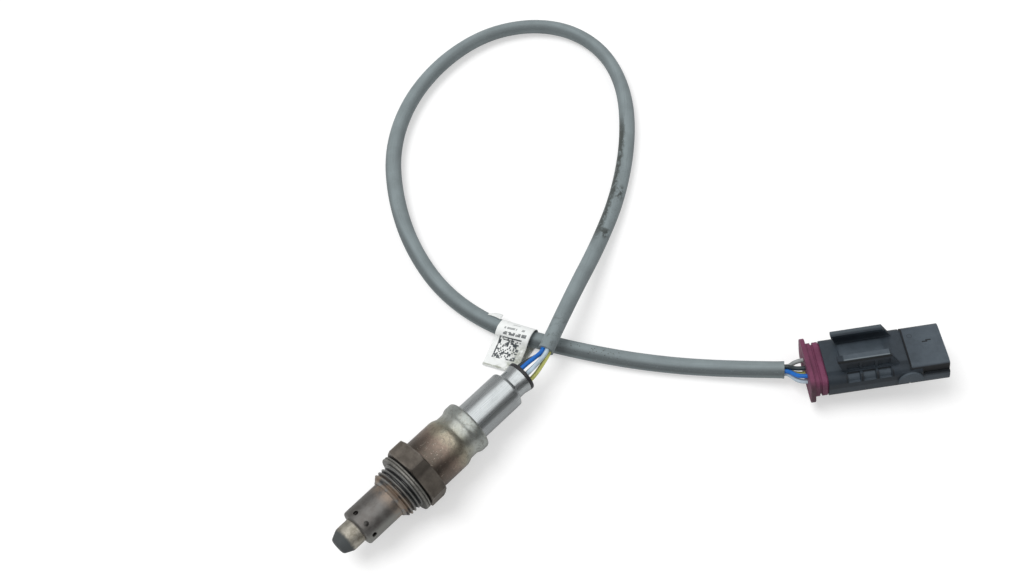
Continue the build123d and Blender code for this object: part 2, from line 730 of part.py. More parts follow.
def make_housing():
    """Black plug body: mating shroud, six cavities, seal pocket and mounting rails."""
    body = slab(BODY_X, MOUTH_X, BODY_WIDTH, BODY_HEIGHT, BODY_ROUND)
    parting = MOUTH_X - PARTING_SETBACK
    reach = BODY_WIDTH
    half_gap = PARTING_WIDTH / 2
    body -= body_skin(PARTING_DEPTH) & block(parting - half_gap, parting + half_gap, -reach, reach, -reach, reach)
    deep = body_skin(SHOULDER_POCKET_DEPTH)
    first = BODY_X + RAIL_START + RAIL_UNDERCUT + POCKET_RIB
    edge = RAIL_OUTER + POCKET_DEPTH
    for index in range(POCKETS):
        x0 = first + index * POCKET_PITCH
        x1 = x0 + POCKET_PITCH - POCKET_RIB
        for y0, y1 in ((edge, reach), (-reach, -edge)):
            body -= deep & block(x0, x1, y0, y1, SHOULDER_POCKET_LIFT, BODY_HEIGHT)
    half = BODY_WIDTH / 2
    key_z = KEYWAY_LIFT
    for y0, y1 in ((half - KEYWAY_DEPTH, half), (-half, KEYWAY_DEPTH - half)):
        body -= block(MOUTH_X - KEYWAY_LENGTH, MOUTH_X, y0, y1, key_z - KEYWAY_HEIGHT / 2, key_z + KEYWAY_HEIGHT / 2)
    bump = Location((parting, 0, -BUMP_DROP)) * Rot(90, 0, 0) * Cylinder(BUMP_R, BODY_WIDTH + 2 * BUMP_HEIGHT)
    body += bump & block(BODY_X, MOUTH_X, -reach, BODY_ROUND - half, -BUMP_DROP, reach)
    body -= slab(
        SOCKET_X,
        MOUTH_X,
        BODY_WIDTH - 2 * SHELL_WALL,
        BODY_HEIGHT - 2 * SHELL_WALL,
        MOUTH_ROUND,
    )
    body -= slab(BODY_X, SEAL_END_X, SEAL_PLACE_WIDTH, SEAL_PLACE_HEIGHT, SEAL_PLACE_ROUND)
    for column in (-1, 0, 1):
        for row in (-1, 1):
            y = column * COLUMN_PITCH
            z = row * ROW_PITCH / 2
            side = CAVITY_SIDE / 2
            body -= block(SEAL_END_X, PIN_BODY_END_X, y - side, y + side, z - side, z + side)
            side = PIN_SIDE / 2 + LOOSE_FIT
            body -= block(PIN_BODY_END_X, SOCKET_X, y - side, y + side, z - side, z + side)
    start = BODY_X + RAIL_START + RAIL_UNDERCUT
    pad_half = RAIL_OUTER - RAIL_WALL - PAD_GAP
    pad_top = BODY_HEIGHT / 2 + PAD_HEIGHT
    body += block(start, start + RAIL_TOP_LENGTH, -pad_half, pad_half, BODY_HEIGHT / 2 - PAD_HEIGHT, pad_top)
    return body + rail(1) + rail(-1)


def cell_places():
    """Every cell of the plug as (column, row)."""
    return [(column, row) for column in (-1, 0, 1) for row in (-1, 1)]


def make_cover():
    """Plum rear cover: flange, two ribs with a groove between, and a spigot."""
    grow = 2 * FLANGE_EDGE
    body = slab(0, RIB_ONE_X, BODY_WIDTH + grow, BODY_HEIGHT + grow, BODY_ROUND + FLANGE_EDGE)
    steps = [
        (RIB_ONE_X, GROOVE_X, COVER_RIB_INSET),
        (GROOVE_X, RIB_TWO_X, COVER_RIB_INSET + COVER_GROOVE_DEPTH),
        (RIB_TWO_X, COVER_NECK_X, COVER_RIB_INSET),
        (COVER_NECK_X, BODY_X, COVER_NECK_INSET),
    ]
    for start, end, inset in steps:
        body += slab(start, end, BODY_WIDTH - 2 * inset, BODY_HEIGHT - 2 * inset, BODY_ROUND - inset)
    body += slab(
        BODY_X,
        SPIGOT_END_X,
        SEAL_PLACE_WIDTH - 2 * LOOSE_FIT,
        SEAL_PLACE_HEIGHT - 2 * LOOSE_FIT,
        SEAL_PLACE_ROUND - LOOSE_FIT,
    )
    for column, row in cell_places():
        hole = rod(0, SPIGOT_END_X, WIRE_R + 2 * LOOSE_FIT)
        body -= Location((0, column * COLUMN_PITCH, row * ROW_PITCH / 2)) * hole
    return body


def make_wire_seal():
    """Silicone mat seal behind the terminals."""
    body = slab(
        SPIGOT_END_X,
        SEAL_END_X,
        SEAL_PLACE_WIDTH - 2 * LOOSE_FIT,
        SEAL_PLACE_HEIGHT - 2 * LOOSE_FIT,
        SEAL_PLACE_ROUND - LOOSE_FIT,
    )
    for column, row in cell_places():
        hole = rod(SPIGOT_END_X, SEAL_END_X, WIRE_R + CLOSE_FIT)
        body -= Location((0, column * COLUMN_PITCH, row * ROW_PITCH / 2)) * hole
    return body


def make_blank_plug():
    """Stopper in the cell without a wire."""
    column, row = SPARE_CELL
    head = rod(SPIGOT_END_X - PLUG_STUB_HEAD, SPIGOT_END_X, WIRE_R + LOOSE_FIT)
    body = head + rod(SPIGOT_END_X, SEAL_END_X, WIRE_R)
    return Location((0, column * COLUMN_PITCH, row * ROW_PITCH / 2)) * body


def make_pin(index):
    """Terminal: crimp barrel on the wire, body in its cavity and a square pin."""
    column, row = WIRE_CELLS[index]
    inner = WIRE_R + CLOSE_FIT
    side = PIN_BODY_SIDE / 2
    thin = PIN_SIDE / 2
    body = ring(CRIMP_X, PIN_BODY_X + PIN_REST, inner + CRIMP_WALL - LOOSE_FIT / 2, inner)
    body += block(PIN_BODY_X, PIN_BODY_END_X - LOOSE_FIT, -side, side, -side, side)
    body += block(PIN_BODY_END_X - LOOSE_FIT, PIN_END_X, -thin, thin, -thin, thin)
    return Location((0, column * COLUMN_PITCH, row * ROW_PITCH / 2)) * body


def make_lock():
    """Plate at the bottom of the mouth that locks and lines up the pins."""
    body = slab(
        SOCKET_X,
        SOCKET_X + LOCK_THICKNESS,
        BODY_WIDTH - 2 * SHELL_WALL - 2 * LOOSE_FIT,
        BODY_HEIGHT - 2 * SHELL_WALL - 2 * LOOSE_FIT,
        MOUTH_ROUND - LOOSE_FIT,
    )
    side = PIN_SIDE / 2 + LOOSE_FIT
    for column, row in cell_places():
        y = column * COLUMN_PITCH
        z = row * ROW_PITCH / 2
        body -= block(SOCKET_X, SOCKET_X + LOCK_THICKNESS, y - side, y + side, z - side, z + side)
    return body


def make_all():
    """Every node of the part, by name."""
    nodes = {
        "hex_shell": make_hex_shell(),
        "seal_gasket": make_gasket(),
        "outer_shield": make_outer_shield(),
        "inner_shield": make_inner_shield(),
        "sensing_element": make_element(),
        "front_ceramic": make_front_ceramic(),
        "powder_seal": make_powder_seal(),
        "rear_ceramic": make_rear_ceramic(),
        "press_ring": make_press_ring(),
        "front_sleeve": make_front_sleeve(),
        "rear_sleeve": make_rear_sleeve(),
        "carrier_upper": make_carrier(1),
        "carrier_lower": make_carrier(-1),
        "clamp_ring": make_clamp_ring(),
        "grommet": make_grommet(),
        "cable_sheath": make_sheath(),
        "wire_tag": make_tag(),
    }
    plug = {
        "connector_housing": make_housing(),
        "connector_cover": make_cover(),
        "wire_seal": make_wire_seal(),
        "blank_plug": make_blank_plug(),
        "pin_lock": make_lock(),
    }
    for index, name in enumerate(WIRE_NAMES):
        nodes["contact_" + name] = make_contact(index)
        nodes["wire_" + name] = make_wire(index)
        plug["pin_" + name] = make_pin(index)
    for name, shape in plug.items():
        nodes[name] = PLUG_LOCATION * shape
    return nodes


def main():
    for number, radius in enumerate(ROUTE_RADII, start=1):
        print(f"lead corner {number}: arc radius {radius:.1f} mm")
    for name, shape in make_all().items():
        export_step(shape, f"parts/{name}.step")


main()
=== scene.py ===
"""Exhaust oxygen sensor with its sheathed lead, tag and plug, dressed on the packed solids."""

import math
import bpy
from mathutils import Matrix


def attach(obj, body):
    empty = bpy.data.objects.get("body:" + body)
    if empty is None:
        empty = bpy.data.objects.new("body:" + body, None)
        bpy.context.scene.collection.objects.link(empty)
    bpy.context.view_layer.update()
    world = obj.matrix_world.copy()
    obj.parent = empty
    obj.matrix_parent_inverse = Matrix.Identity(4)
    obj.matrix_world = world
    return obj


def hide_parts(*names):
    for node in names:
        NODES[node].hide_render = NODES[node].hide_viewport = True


bl_info = {
    "name": "Oxygen Sensor Dressing",
    "version": (1, 0, 0),
    "blender": (4, 5, 0),
    "location": "View3D > Sidebar > Oxygen Sensor",
    "description": "Dresses the packed oxygen sensor with its lead, wires, tag, thread, sleeves and plug",
    "category": "Object",
}

import bmesh
import bpy
import numpy as np
from bpy.props import FloatProperty, FloatVectorProperty, PointerProperty
from bpy.types import Operator, Panel, PropertyGroup
from mathutils import Euler, Matrix, Vector

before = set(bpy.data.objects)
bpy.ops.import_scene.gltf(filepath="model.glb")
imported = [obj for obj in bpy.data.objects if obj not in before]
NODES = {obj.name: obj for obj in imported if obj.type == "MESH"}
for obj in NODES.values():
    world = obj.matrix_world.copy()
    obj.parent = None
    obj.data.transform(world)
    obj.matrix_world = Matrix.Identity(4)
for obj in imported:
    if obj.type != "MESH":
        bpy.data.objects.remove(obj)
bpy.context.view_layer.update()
BODY = "root"
MM = 0.001
FLOOR_Z = -0.0126

# The photograph's view: the camera's place and its axes to the right and forward.
CAMERA_PLACE = (-0.0789, -0.1304, 0.4556)
CAMERA_RIGHT = (0.7071, -0.7071, 0.0)
CAMERA_LOOK = (0.31, 0.31, -0.8988)

# Control points of the lead's middle line, in metres, from the sensor to the plug.
ROUTE = [
    (0.0693, 0.0009, 0.0),
    (0.0910, 0.0093, 0.0),
    (0.1150, 0.0186, -0.0070),
    (0.1376, 0.0288, -0.0093),
    (0.1585, 0.0430, -0.0093),
    (0.1745, 0.0595, -0.0093),
    (0.1824, 0.0773, -0.0093),
    (0.1809, 0.0947, -0.0093),
    (0.1709, 0.1090, -0.0093),
    (0.1540, 0.1188, -0.0093),
    (0.1325, 0.1212, -0.0093),
    (0.1105, 0.1168, -0.0093),
    (0.0910, 0.1054, -0.0093),
    (0.0766, 0.0880, -0.0093),
    (0.0663, 0.0675, -0.0093),
    (0.0618, 0.0443, -0.0093),
    (0.0666, 0.0200, -0.0093),
    (0.0793, -0.0030, -0.0093),
    (0.0940, -0.0250, -0.0093),
    (0.1110, -0.0455, -0.0093),
    (0.1260, -0.0628, -0.0060),
]

# The plug's own frame: X from the cover to the mouth, Z out of its rails.
PLUG_PLACE = (0.1300, -0.0686, -0.0038)
PLUG_TURN = (math.radians(-18.0), math.radians(-8.0), math.radians(-38.9))
PLUG_MATRIX = Matrix.Translation(PLUG_PLACE) @ Euler(PLUG_TURN, "XYZ").to_matrix().to_4x4()

# The five wires: their angles in the grommet and at the sheath's start, in degrees, how far they
# twist along the sheath, how far from the middle they lie in each, and their cells in the plug by
# column and row, in millimetres.
WIRES = ["yellow", "white", "blue", "black", "grey"]
GROMMET_ANGLES = [184.0, 120.0, 66.0, 10.0, -84.0]
SHEATH_ANGLES = [188.0, 116.0, 44.0, -28.0, -100.0]
LAY_TWIST = 90.0
GROMMET_RADIUS, SHEATH_RADIUS = 3.0, 1.38
WIRE_CELLS = [(0, -1), (-1, -1), (-1, 1), (0, 1), (1, 1)]
CELL_WIDTH, CELL_HEIGHT = 3.7, 1.5

# The pieces that hang on the lead.
LEAD_PIECES = ["connector_housing_form", "connector_cover_form", "wire_seal", "blank_plug"]
LEAD_PIECES += ["pin_lock", "wire_tag_form", "wire_tag_end_form"]
LEAD_PIECES += [f"pin_{name}" for name in WIRES] + [f"wire_{name}_form" for name in WIRES]


# ---------------------------------------------------------------- settings


def size_setting(name, description, default):
    return FloatProperty(name=name, description=description, default=default, unit="LENGTH")


def color_setting(name, description, default):
    return FloatVectorProperty(name=name, description=description, default=default, subtype="COLOR")


def level_setting(name, description, default, lowest):
    return FloatProperty(name=name, description=description, default=default, min=lowest)


class LeadSettings(PropertyGroup):
    """Sizes and colours of the lead."""

    width: size_setting("Sheath width", "Widest part of the oval sheath", 0.0061)
    thickness: size_setting("Sheath thickness", "Narrowest part of the oval sheath", 0.0053)
    wall: size_setting("Sheath wall", "Wall of the sheath", 0.00075)
    wire_radius: size_setting("Wire radius", "Radius of an insulated wire", 0.0008)
    sheath: color_setting("Sheath colour", "Grey of the sheath", (0.208, 0.247, 0.257))
    dirt: color_setting("Dirt colour", "Oily dirt on the sheath", (0.028, 0.033, 0.028))
    yellow: color_setting("Yellow wire", "Insulation colour", (0.56, 0.57, 0.17))
    white: color_setting("White wire", "Insulation colour", (0.46, 0.56, 0.64))
    blue: color_setting("Blue wire", "Insulation colour", (0.004, 0.13, 0.5))
    black: color_setting("Black wire", "Insulation colour", (0.02, 0.03, 0.035))
    grey: color_setting("Grey wire", "Insulation colour", (0.3, 0.32, 0.32))


class TagSettings(PropertyGroup):
    """Sizes and colours of the film tag."""

    width: size_setting("Tag width", "Width along the lead", 0.0128)
    reach: size_setting("Flag reach", "From the lead's middle to the flag's fold", 0.0144)
    film: size_setting("Film thickness", "Thickness of the film", 0.00013)
    cell: size_setting("Printed cell", "Side of one cell of the printed square", 0.000525)
    paper: color_setting("Film colour", "White of the film", (0.86, 0.88, 0.87))
    ink: color_setting("Ink colour", "Dark of the print", (0.045, 0.055, 0.06))


class SensorSettings(PropertyGroup):
    """Sizes and colours of the sensor."""

    pitch: size_setting("Thread pitch", "Pitch of the thread", 0.0015)
    depth: size_setting("Thread depth", "Depth of the thread", 0.0009)
    hexagon: color_setting("Hexagon colour", "Burnt brown steel", (0.155, 0.136, 0.116))
    thread: color_setting("Thread colour", "Dark oiled steel", (0.075, 0.078, 0.08))
    bronze: color_setting("Bronze tint", "Heat tint at the thread's start", (0.34, 0.25, 0.18))
    steel: color_setting("Steel colour", "Bare drawn steel", (0.435, 0.46, 0.467))
    soot: color_setting("Soot colour", "Soot on the tip", (0.075, 0.083, 0.085))


class PlugSettings(PropertyGroup):
    """Sizes and colours of the plug."""

    soft_edge: size_setting("Edge rounding", "Rounding of the moulded edges", 0.00022)
    housing: color_setting("Housing colour", "Dark moulded plastic", (0.013, 0.019, 0.026))
    cover: color_setting("Cover colour", "Plum moulded plastic", (0.135, 0.035, 0.075))


class StageSettings(PropertyGroup):
    """Floor, light and camera."""

    floor: color_setting("Floor colour", "Pale floor", (0.6, 0.6, 0.6))
    world: level_setting("World light", "Strength of the soft light all round", 0.6, 0.0)
    panel: level_setting("Panel light", "Brightness of the panel that metals reflect", 1.72, 0.0)
    key: level_setting("Key light", "Strength of the large soft sun", 0.54, 0.0)
    lens: level_setting("Lens", "Focal length of the camera in millimetres", 49.22, 1.0)


SETTINGS = {
    "sensor_lead": LeadSettings,
    "sensor_tag": TagSettings,
    "sensor_body": SensorSettings,
    "sensor_plug": PlugSettings,
    "sensor_stage": StageSettings,
}


# ---------------------------------------------------------------- shader maths


class Signal:
    """One value in a material: a socket whose operators add Math nodes."""

    def __init__(self, finish, socket):
        self.finish = finish
        self.socket = socket

    def math(self, operation, *values, **settings):
        settings["operation"] = operation
        return self.finish.node("ShaderNodeMath", settings, dict(enumerate(values)))

    def __add__(self, other):
        return self.math("ADD", self, other)

    __radd__ = __add__

    def __sub__(self, other):
        return self.math("SUBTRACT", self, other)

    def __rsub__(self, other):
        return self.math("SUBTRACT", other, self)

    def __mul__(self, other):
        return self.math("MULTIPLY", self, other)

    def __truediv__(self, other):
        return self.math("DIVIDE", self, other)

    def __pow__(self, other):
        return self.math("POWER", self, other)

    def clamped(self):
        return self.math("ADD", self, 0.0, use_clamp=True)

    def absolute(self):
        return self.math("ABSOLUTE", self)

    def whole(self):
        return self.math("FLOOR", self)

    def most(self, *others):
        """The largest of this value and the others."""
        made = self
        for other in others:
            made = self.math("MAXIMUM", made, other)
        return made

    def over(self, limit):
        return self.math("GREATER_THAN", self, limit)

    def rise(self, low, high):
        """0 below low, 1 above high and a smooth step between, or the other way round."""
        flip = low > high
        values = {"Value": self, "From Min": min(low, high), "From Max": max(low, high)}
        values.update({"To Min": float(flip), "To Max": float(not flip)})
        return self.finish.node("ShaderNodeMapRange", {"interpolation_type": "SMOOTHSTEP"}, values)

    def band(self, low, high, soft):
        """1 between low and high, with soft edges."""
        return self.rise(low - soft, low + soft) * self.rise(high + soft, high - soft)


class Finish:
    """A procedural material or sky under construction."""

    def __init__(self, name, sky=False):
        self.material = bpy.data.worlds.new(name) if sky else bpy.data.materials.new(name)
        self.material.use_nodes = True
        self.tree = self.material.node_tree
        self.tree.nodes.clear()

    def node(self, kind, settings=None, values=None, output=0):
        """Adds a node with its settings, a ramp's stops too, and its inputs' values or links."""
        made = self.tree.nodes.new(kind)
        for key, value in (settings or {}).items():
            if key == "stops":
                ramp = made.color_ramp.elements
                while len(ramp) < len(value):
                    ramp.new(0.5)
                for element, (place, color) in zip(ramp, value):
                    element.position = place
                    element.color = (*color, 1.0)
            else:
                setattr(made, key, value)
        for key, value in (values or {}).items():
            socket = made.inputs[key]
            if isinstance(value, Signal):
                self.tree.links.new(value.socket, socket)
            elif hasattr(value, "__len__") and socket.type == "RGBA":
                socket.default_value = (*tuple(value)[:3], 1.0)
            else:
                socket.default_value = value
        return Signal(self, made.outputs[output])

    def mix(self, factor, first, second):
        """Colour between two colours by a factor."""
        return self.node("ShaderNodeMix", {"data_type": "RGBA"}, {0: factor, 6: first, 7: second}, 2)

    def shades(self, factor, color, darker, lighter):
        """Colour between a darker and a lighter tone of one colour."""
        return self.mix(factor, tone(color, darker), tone(color, lighter))

    def place(self, location=None, turn=None):
        """Object coordinates in millimetres, in the row frame or in a frame of its own."""
        vector = self.node("ShaderNodeTexCoord", output=3)
        if location is not None:
            values = {"Vector": vector, "Location": location, "Rotation": turn}
            vector = self.node("ShaderNodeMapping", {"vector_type": "TEXTURE"}, values)
        values = {0: vector, "Scale": 1.0 / MM}
        return self.node("ShaderNodeVectorMath", {"operation": "SCALE"}, values)

    def axes(self, vector):
        """The three coordinates of a vector."""
        first = self.node("ShaderNodeSeparateXYZ", values={0: vector})
        return [Signal(self, socket) for socket in first.socket.node.outputs]

    def rays(self):
        """1 for a ray from the camera, one from a glossy surface and one through glass."""
        outputs = self.node("ShaderNodeLightPath").socket.node.outputs
        names = ("Is Camera Ray", "Is Glossy Ray", "Is Transmission Ray")
        return [Signal(self, outputs[name]) for name in names]

    def attribute(self, name):
        """A number stored at each point of the mesh."""
        return self.node("ShaderNodeAttribute", {"attribute_name": name}, output=2)

    def vector(self, x, y, z):
        return self.node("ShaderNodeCombineXYZ", values={0: x, 1: y, 2: z})

    def stretched(self, vector, scale):
        return self.node("ShaderNodeVectorMath", {"operation": "MULTIPLY"}, {0: vector, 1: scale})

    def noise(self, vector, size, detail=3.0, rough=0.55, twist=0.0):
        """Cloudy noise whose features are about size millimetres wide."""
        values = {"Vector": vector, "Scale": 1.0 / size, "Detail": detail, "Roughness": rough}
        return self.node("ShaderNodeTexNoise", None, {**values, "Distortion": twist})

    def cells(self, vector, size):
        """Distance to the nearest of scattered points about size millimetres apart."""
        return self.node("ShaderNodeTexVoronoi", None, {"Vector": vector, "Scale": 1.0 / size})

    def chance(self, vector):
        """A random number for each whole vector."""
        return self.node("ShaderNodeTexWhiteNoise", {"noise_dimensions": "2D"}, {"Vector": vector})

    def curve(self, value, knots):
        """A number that follows knots of (value, number) with smooth steps."""
        made = knots[0][1]
        for (start, low), (end, high) in zip(knots, knots[1:]):
            made = made + value.rise(start, end) * float(high - low)
        return made

    def close(self, color, roughness, metallic=0.0, height=None, depth=0.0, **constants):
        """Joins the values to the surface shader. Height is in millimetres, and depth scales it."""
        values = {"Base Color": color, "Roughness": roughness, "Metallic": metallic}
        if height is not None:
            bump = {"Strength": 1.0, "Distance": depth * MM, "Height": height}
            values["Normal"] = self.node("ShaderNodeBump", None, bump)
        values.update({key.replace("_", " "): value for key, value in constants.items()})
        shader = self.node("ShaderNodeBsdfPrincipled", None, values)
        output = self.tree.nodes.new("ShaderNodeOutputMaterial")
        self.tree.links.new(shader.socket, output.inputs["Surface"])
        return self.material


def tone(color, factor):
    """A colour made lighter or darker."""
    return tuple(min(1.0, channel * factor) for channel in color)


# ---------------------------------------------------------------- surfaces


def placed(name, data):
    """New object in the scene."""
    made = bpy.data.objects.new(name, data)
    bpy.context.scene.collection.objects.link(made)
    return made


def link(name, mesh, material):
    """Puts a mesh into the scene as a piece that rides on the part."""
    piece = placed(name, mesh)
    mesh.materials.append(material)
    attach(piece, BODY)
    return piece


def merge(source, target, distance, flat=None):
    """Copies a mesh with its close points merged and, within the angle flat, its flat faces joined."""
    work = bmesh.new()
    work.from_mesh(source)
    bmesh.ops.remove_doubles(work, verts=work.verts, dist=distance)
    if flat is not None:
        bmesh.ops.dissolve_limit(work, angle_limit=flat, verts=work.verts, edges=work.edges)
    work.to_mesh(target)
    work.free()


def surface(name, points, wrap=(False, True), uv=None, sharp=40.0, values=None, poles=False):
    """Mesh of quads between neighbouring points of a grid (rows, columns, 3).

    wrap joins the last row to the first and the last column to the first. The face at row i and
    column j has corners (i, j), (i, j+1), (i+1, j+1) and (i+1, j), turned so that a closed grid
    has a positive volume. uv is (rows, columns, 2). values are named numbers per point.
    """
    points = np.asarray(points, float)
    rows, columns = points.shape[:2]
    i = np.arange(rows if wrap[0] else rows - 1)
    j = np.arange(columns if wrap[1] else columns - 1)
    i, j = np.meshgrid(i, j, indexing="ij")
    i2, j2 = (i + 1) % rows, (j + 1) % columns
    row, row2 = i * columns, i2 * columns
    quads = np.stack([row + j, row + j2, row2 + j2, row2 + j], -1).reshape(-1, 4)
    flat = points.reshape(-1, 3)
    a, b, c, d = (flat[quads[:, k]] for k in range(4))
    volume = (a * (np.cross(b, c) + np.cross(c, d))).sum()
    inside_out = volume < 0 and (wrap[0] or poles)
    if inside_out:
        quads = quads[:, ::-1]
    mesh = bpy.data.meshes.new(name)
    mesh.vertices.add(len(flat))
    mesh.vertices.foreach_set("co", flat.ravel())
    mesh.loops.add(quads.size)
    mesh.loops.foreach_set("vertex_index", quads.ravel())
    mesh.polygons.add(len(quads))
    mesh.polygons.foreach_set("loop_start", np.arange(0, quads.size, 4))
    if uv is not None:
        layer = mesh.uv_layers.new(name="UVMap")
        grid = np.asarray(uv, float)
        if wrap[0]:
            grid = np.concatenate([grid, grid[:1]], 0)
        if wrap[1]:
            grid = np.concatenate([grid, grid[:, :1] + np.array([0.0, 1.0])], 1)
        i, j = i.ravel(), j.ravel()
        corners = np.stack([grid[i, j], grid[i, j + 1], grid[i + 1, j + 1], grid[i + 1, j]], 1)
        if inside_out:
            corners = corners[:, ::-1]
        layer.data.foreach_set("uv", corners.reshape(-1))
    for key, numbers in (values or {}).items():
        attribute = mesh.attributes.new(key, "FLOAT", "POINT")
        attribute.data.foreach_set("value", np.asarray(numbers, np.float32).ravel())
    mesh.update(calc_edges=True)
    mesh.validate()
    if poles:
        merge(mesh, mesh, 1e-7)
    mesh.polygons.foreach_set("use_smooth", np.ones(len(mesh.polygons), bool))
    mesh.set_sharp_from_angle(angle=math.radians(sharp))
    return mesh


def stand_in(node, points, material, slot, **how):
    """Surface through a grid of points that takes the place of a CAD node."""
    name = f"{node}_form"
    piece = link(name, surface(name, points, **how), material)
    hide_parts(node)
    return piece


def rounded(profile, radii, steps):
    """Closed profile with its corners rounded.

    Each corner is cut back by its radius times the tangent of half its turn, and the points
    between are those of a quadratic arc through the corner's two cut points.
    """
    corner = np.asarray(profile, float)
    radii = np.broadcast_to(np.asarray(radii, float), len(corner))
    before = np.roll(corner, 1, 0) - corner
    after = np.roll(corner, -1, 0) - corner
    first = before / np.linalg.norm(before, axis=1)[:, None]
    second = after / np.linalg.norm(after, axis=1)[:, None]
    angle = np.arccos(np.clip((first * second).sum(1), -1, 1))
    cut = radii / np.tan(angle / 2)
    shorter = np.minimum(np.linalg.norm(before, axis=1), np.linalg.norm(after, axis=1))
    cut = np.minimum(cut, 0.45 * shorter)
    start = corner + first * cut[:, None]
    end = corner + second * cut[:, None]
    t = np.linspace(0, 1, steps)[None, :, None]
    arc = (1 - t) ** 2 * start[:, None] + 2 * t * (1 - t) * corner[:, None] + t**2 * end[:, None]
    return arc.reshape(-1, 2)


def refined(profile, step):
    """Closed profile with points added so that no side is longer than a step."""
    side = np.roll(profile, -1, 0) - profile
    counts = np.maximum(1, np.ceil(np.linalg.norm(side, axis=1) / step)).astype(int)
    index = np.repeat(np.arange(len(profile)), counts)
    first = (np.cumsum(counts) - counts)[index]
    share = (np.arange(counts.sum()) - first) / counts[index]
    return profile[index] + side[index] * share[:, None]


def turned(profile, columns, ripple=None):
    """Points of a profile of (x, radius) in millimetres carried round the X axis.

    Point (i, j) is (x_i, r_i cos a_j, r_i sin a_j), with r_i changed by ripple(x, r, a) where given.
    """
    profile = np.asarray(profile, float)
    angle = np.linspace(0, 2 * np.pi, columns, endpoint=False)[None, :]
    x = np.repeat(profile[:, :1], columns, 1)
    r = np.repeat(profile[:, 1:], columns, 1)
    if ripple is not None:
        r = ripple(x, r, angle)
    return np.stack([x, r * np.cos(angle), r * np.sin(angle)], -1) * MM


def turned_piece(node, profile, material, slot, columns=160, ripple=None):
    """Closed profile turned round the sensor's axis in place of a CAD node."""
    points = turned(profile, columns, ripple)
    return stand_in(node, points, material, slot, wrap=(True, True), sharp=50.0)


def spline_points(name, controls, resolution=20):
    """Points of the smooth line that a NURBS spline of order 3 draws near its control points."""
    curve = bpy.data.curves.new(name, "CURVE")
    curve.dimensions = "3D"
    curve.resolution_u = resolution
    spline = curve.splines.new("NURBS")
    spline.points.add(len(controls) - 1)
    spline.points.foreach_set("co", np.column_stack([controls, np.ones(len(controls))]).ravel())
    spline.order_u = 3
    spline.use_endpoint_u = True
    holder = placed(name, curve)
    graph = bpy.context.evaluated_depsgraph_get()
    mesh = bpy.data.meshes.new_from_object(holder.evaluated_get(graph))
    points = np.empty(len(mesh.vertices) * 3)
    mesh.vertices.foreach_get("co", points)
    bpy.data.objects.remove(holder)
    bpy.data.curves.remove(curve)
    bpy.data.meshes.remove(mesh)
    return points.reshape(-1, 3)


def run_length(points):
    """Length along a line at each of its points."""
    steps = np.linalg.norm(np.diff(points, axis=0), axis=1)
    return np.concatenate([[0.0], np.cumsum(steps)])


def resampled(points, step):
    """A line's points again, spaced evenly about a step apart."""
    along = run_length(points)
    spots = np.linspace(0, along[-1], max(8, int(along[-1] / step)))
    return np.stack([np.interp(spots, along, points[:, k]) for k in range(3)], -1)


def frames(points):
    """Side and up directions square to a line: side is level, and up completes it."""
    along = np.gradient(points, axis=0)
    along /= np.linalg.norm(along, axis=1)[:, None]
    side = np.cross([0.0, 0.0, 1.0], along)
    side /= np.linalg.norm(side, axis=1)[:, None]
    return along, side, np.cross(along, side)


def oval_tube(points, wide, high, turn, columns):
    """Points of a tube with an oval section round a line.

    Point (i, j) is p_i + side (w cos a cos t - h sin a sin t) + up (w cos a sin t + h sin a cos t).
    w and h are the oval's half axes at row i, t is how far the oval is turned there, and a runs
    round the section.
    """
    _, side, up = frames(points)
    angle = np.linspace(0, 2 * np.pi, columns, endpoint=False)[None, :]
    wide, high, turn = (np.asarray(value, float).reshape(-1, 1) for value in (wide, high, turn))
    x = wide * np.cos(angle)
    y = high * np.sin(angle)
    across = x * np.cos(turn) - y * np.sin(turn)
    rise = x * np.sin(turn) + y * np.cos(turn)
    return points[:, None] + across[..., None] * side[:, None] + rise[..., None] * up[:, None]


# ---------------------------------------------------------------- finishes


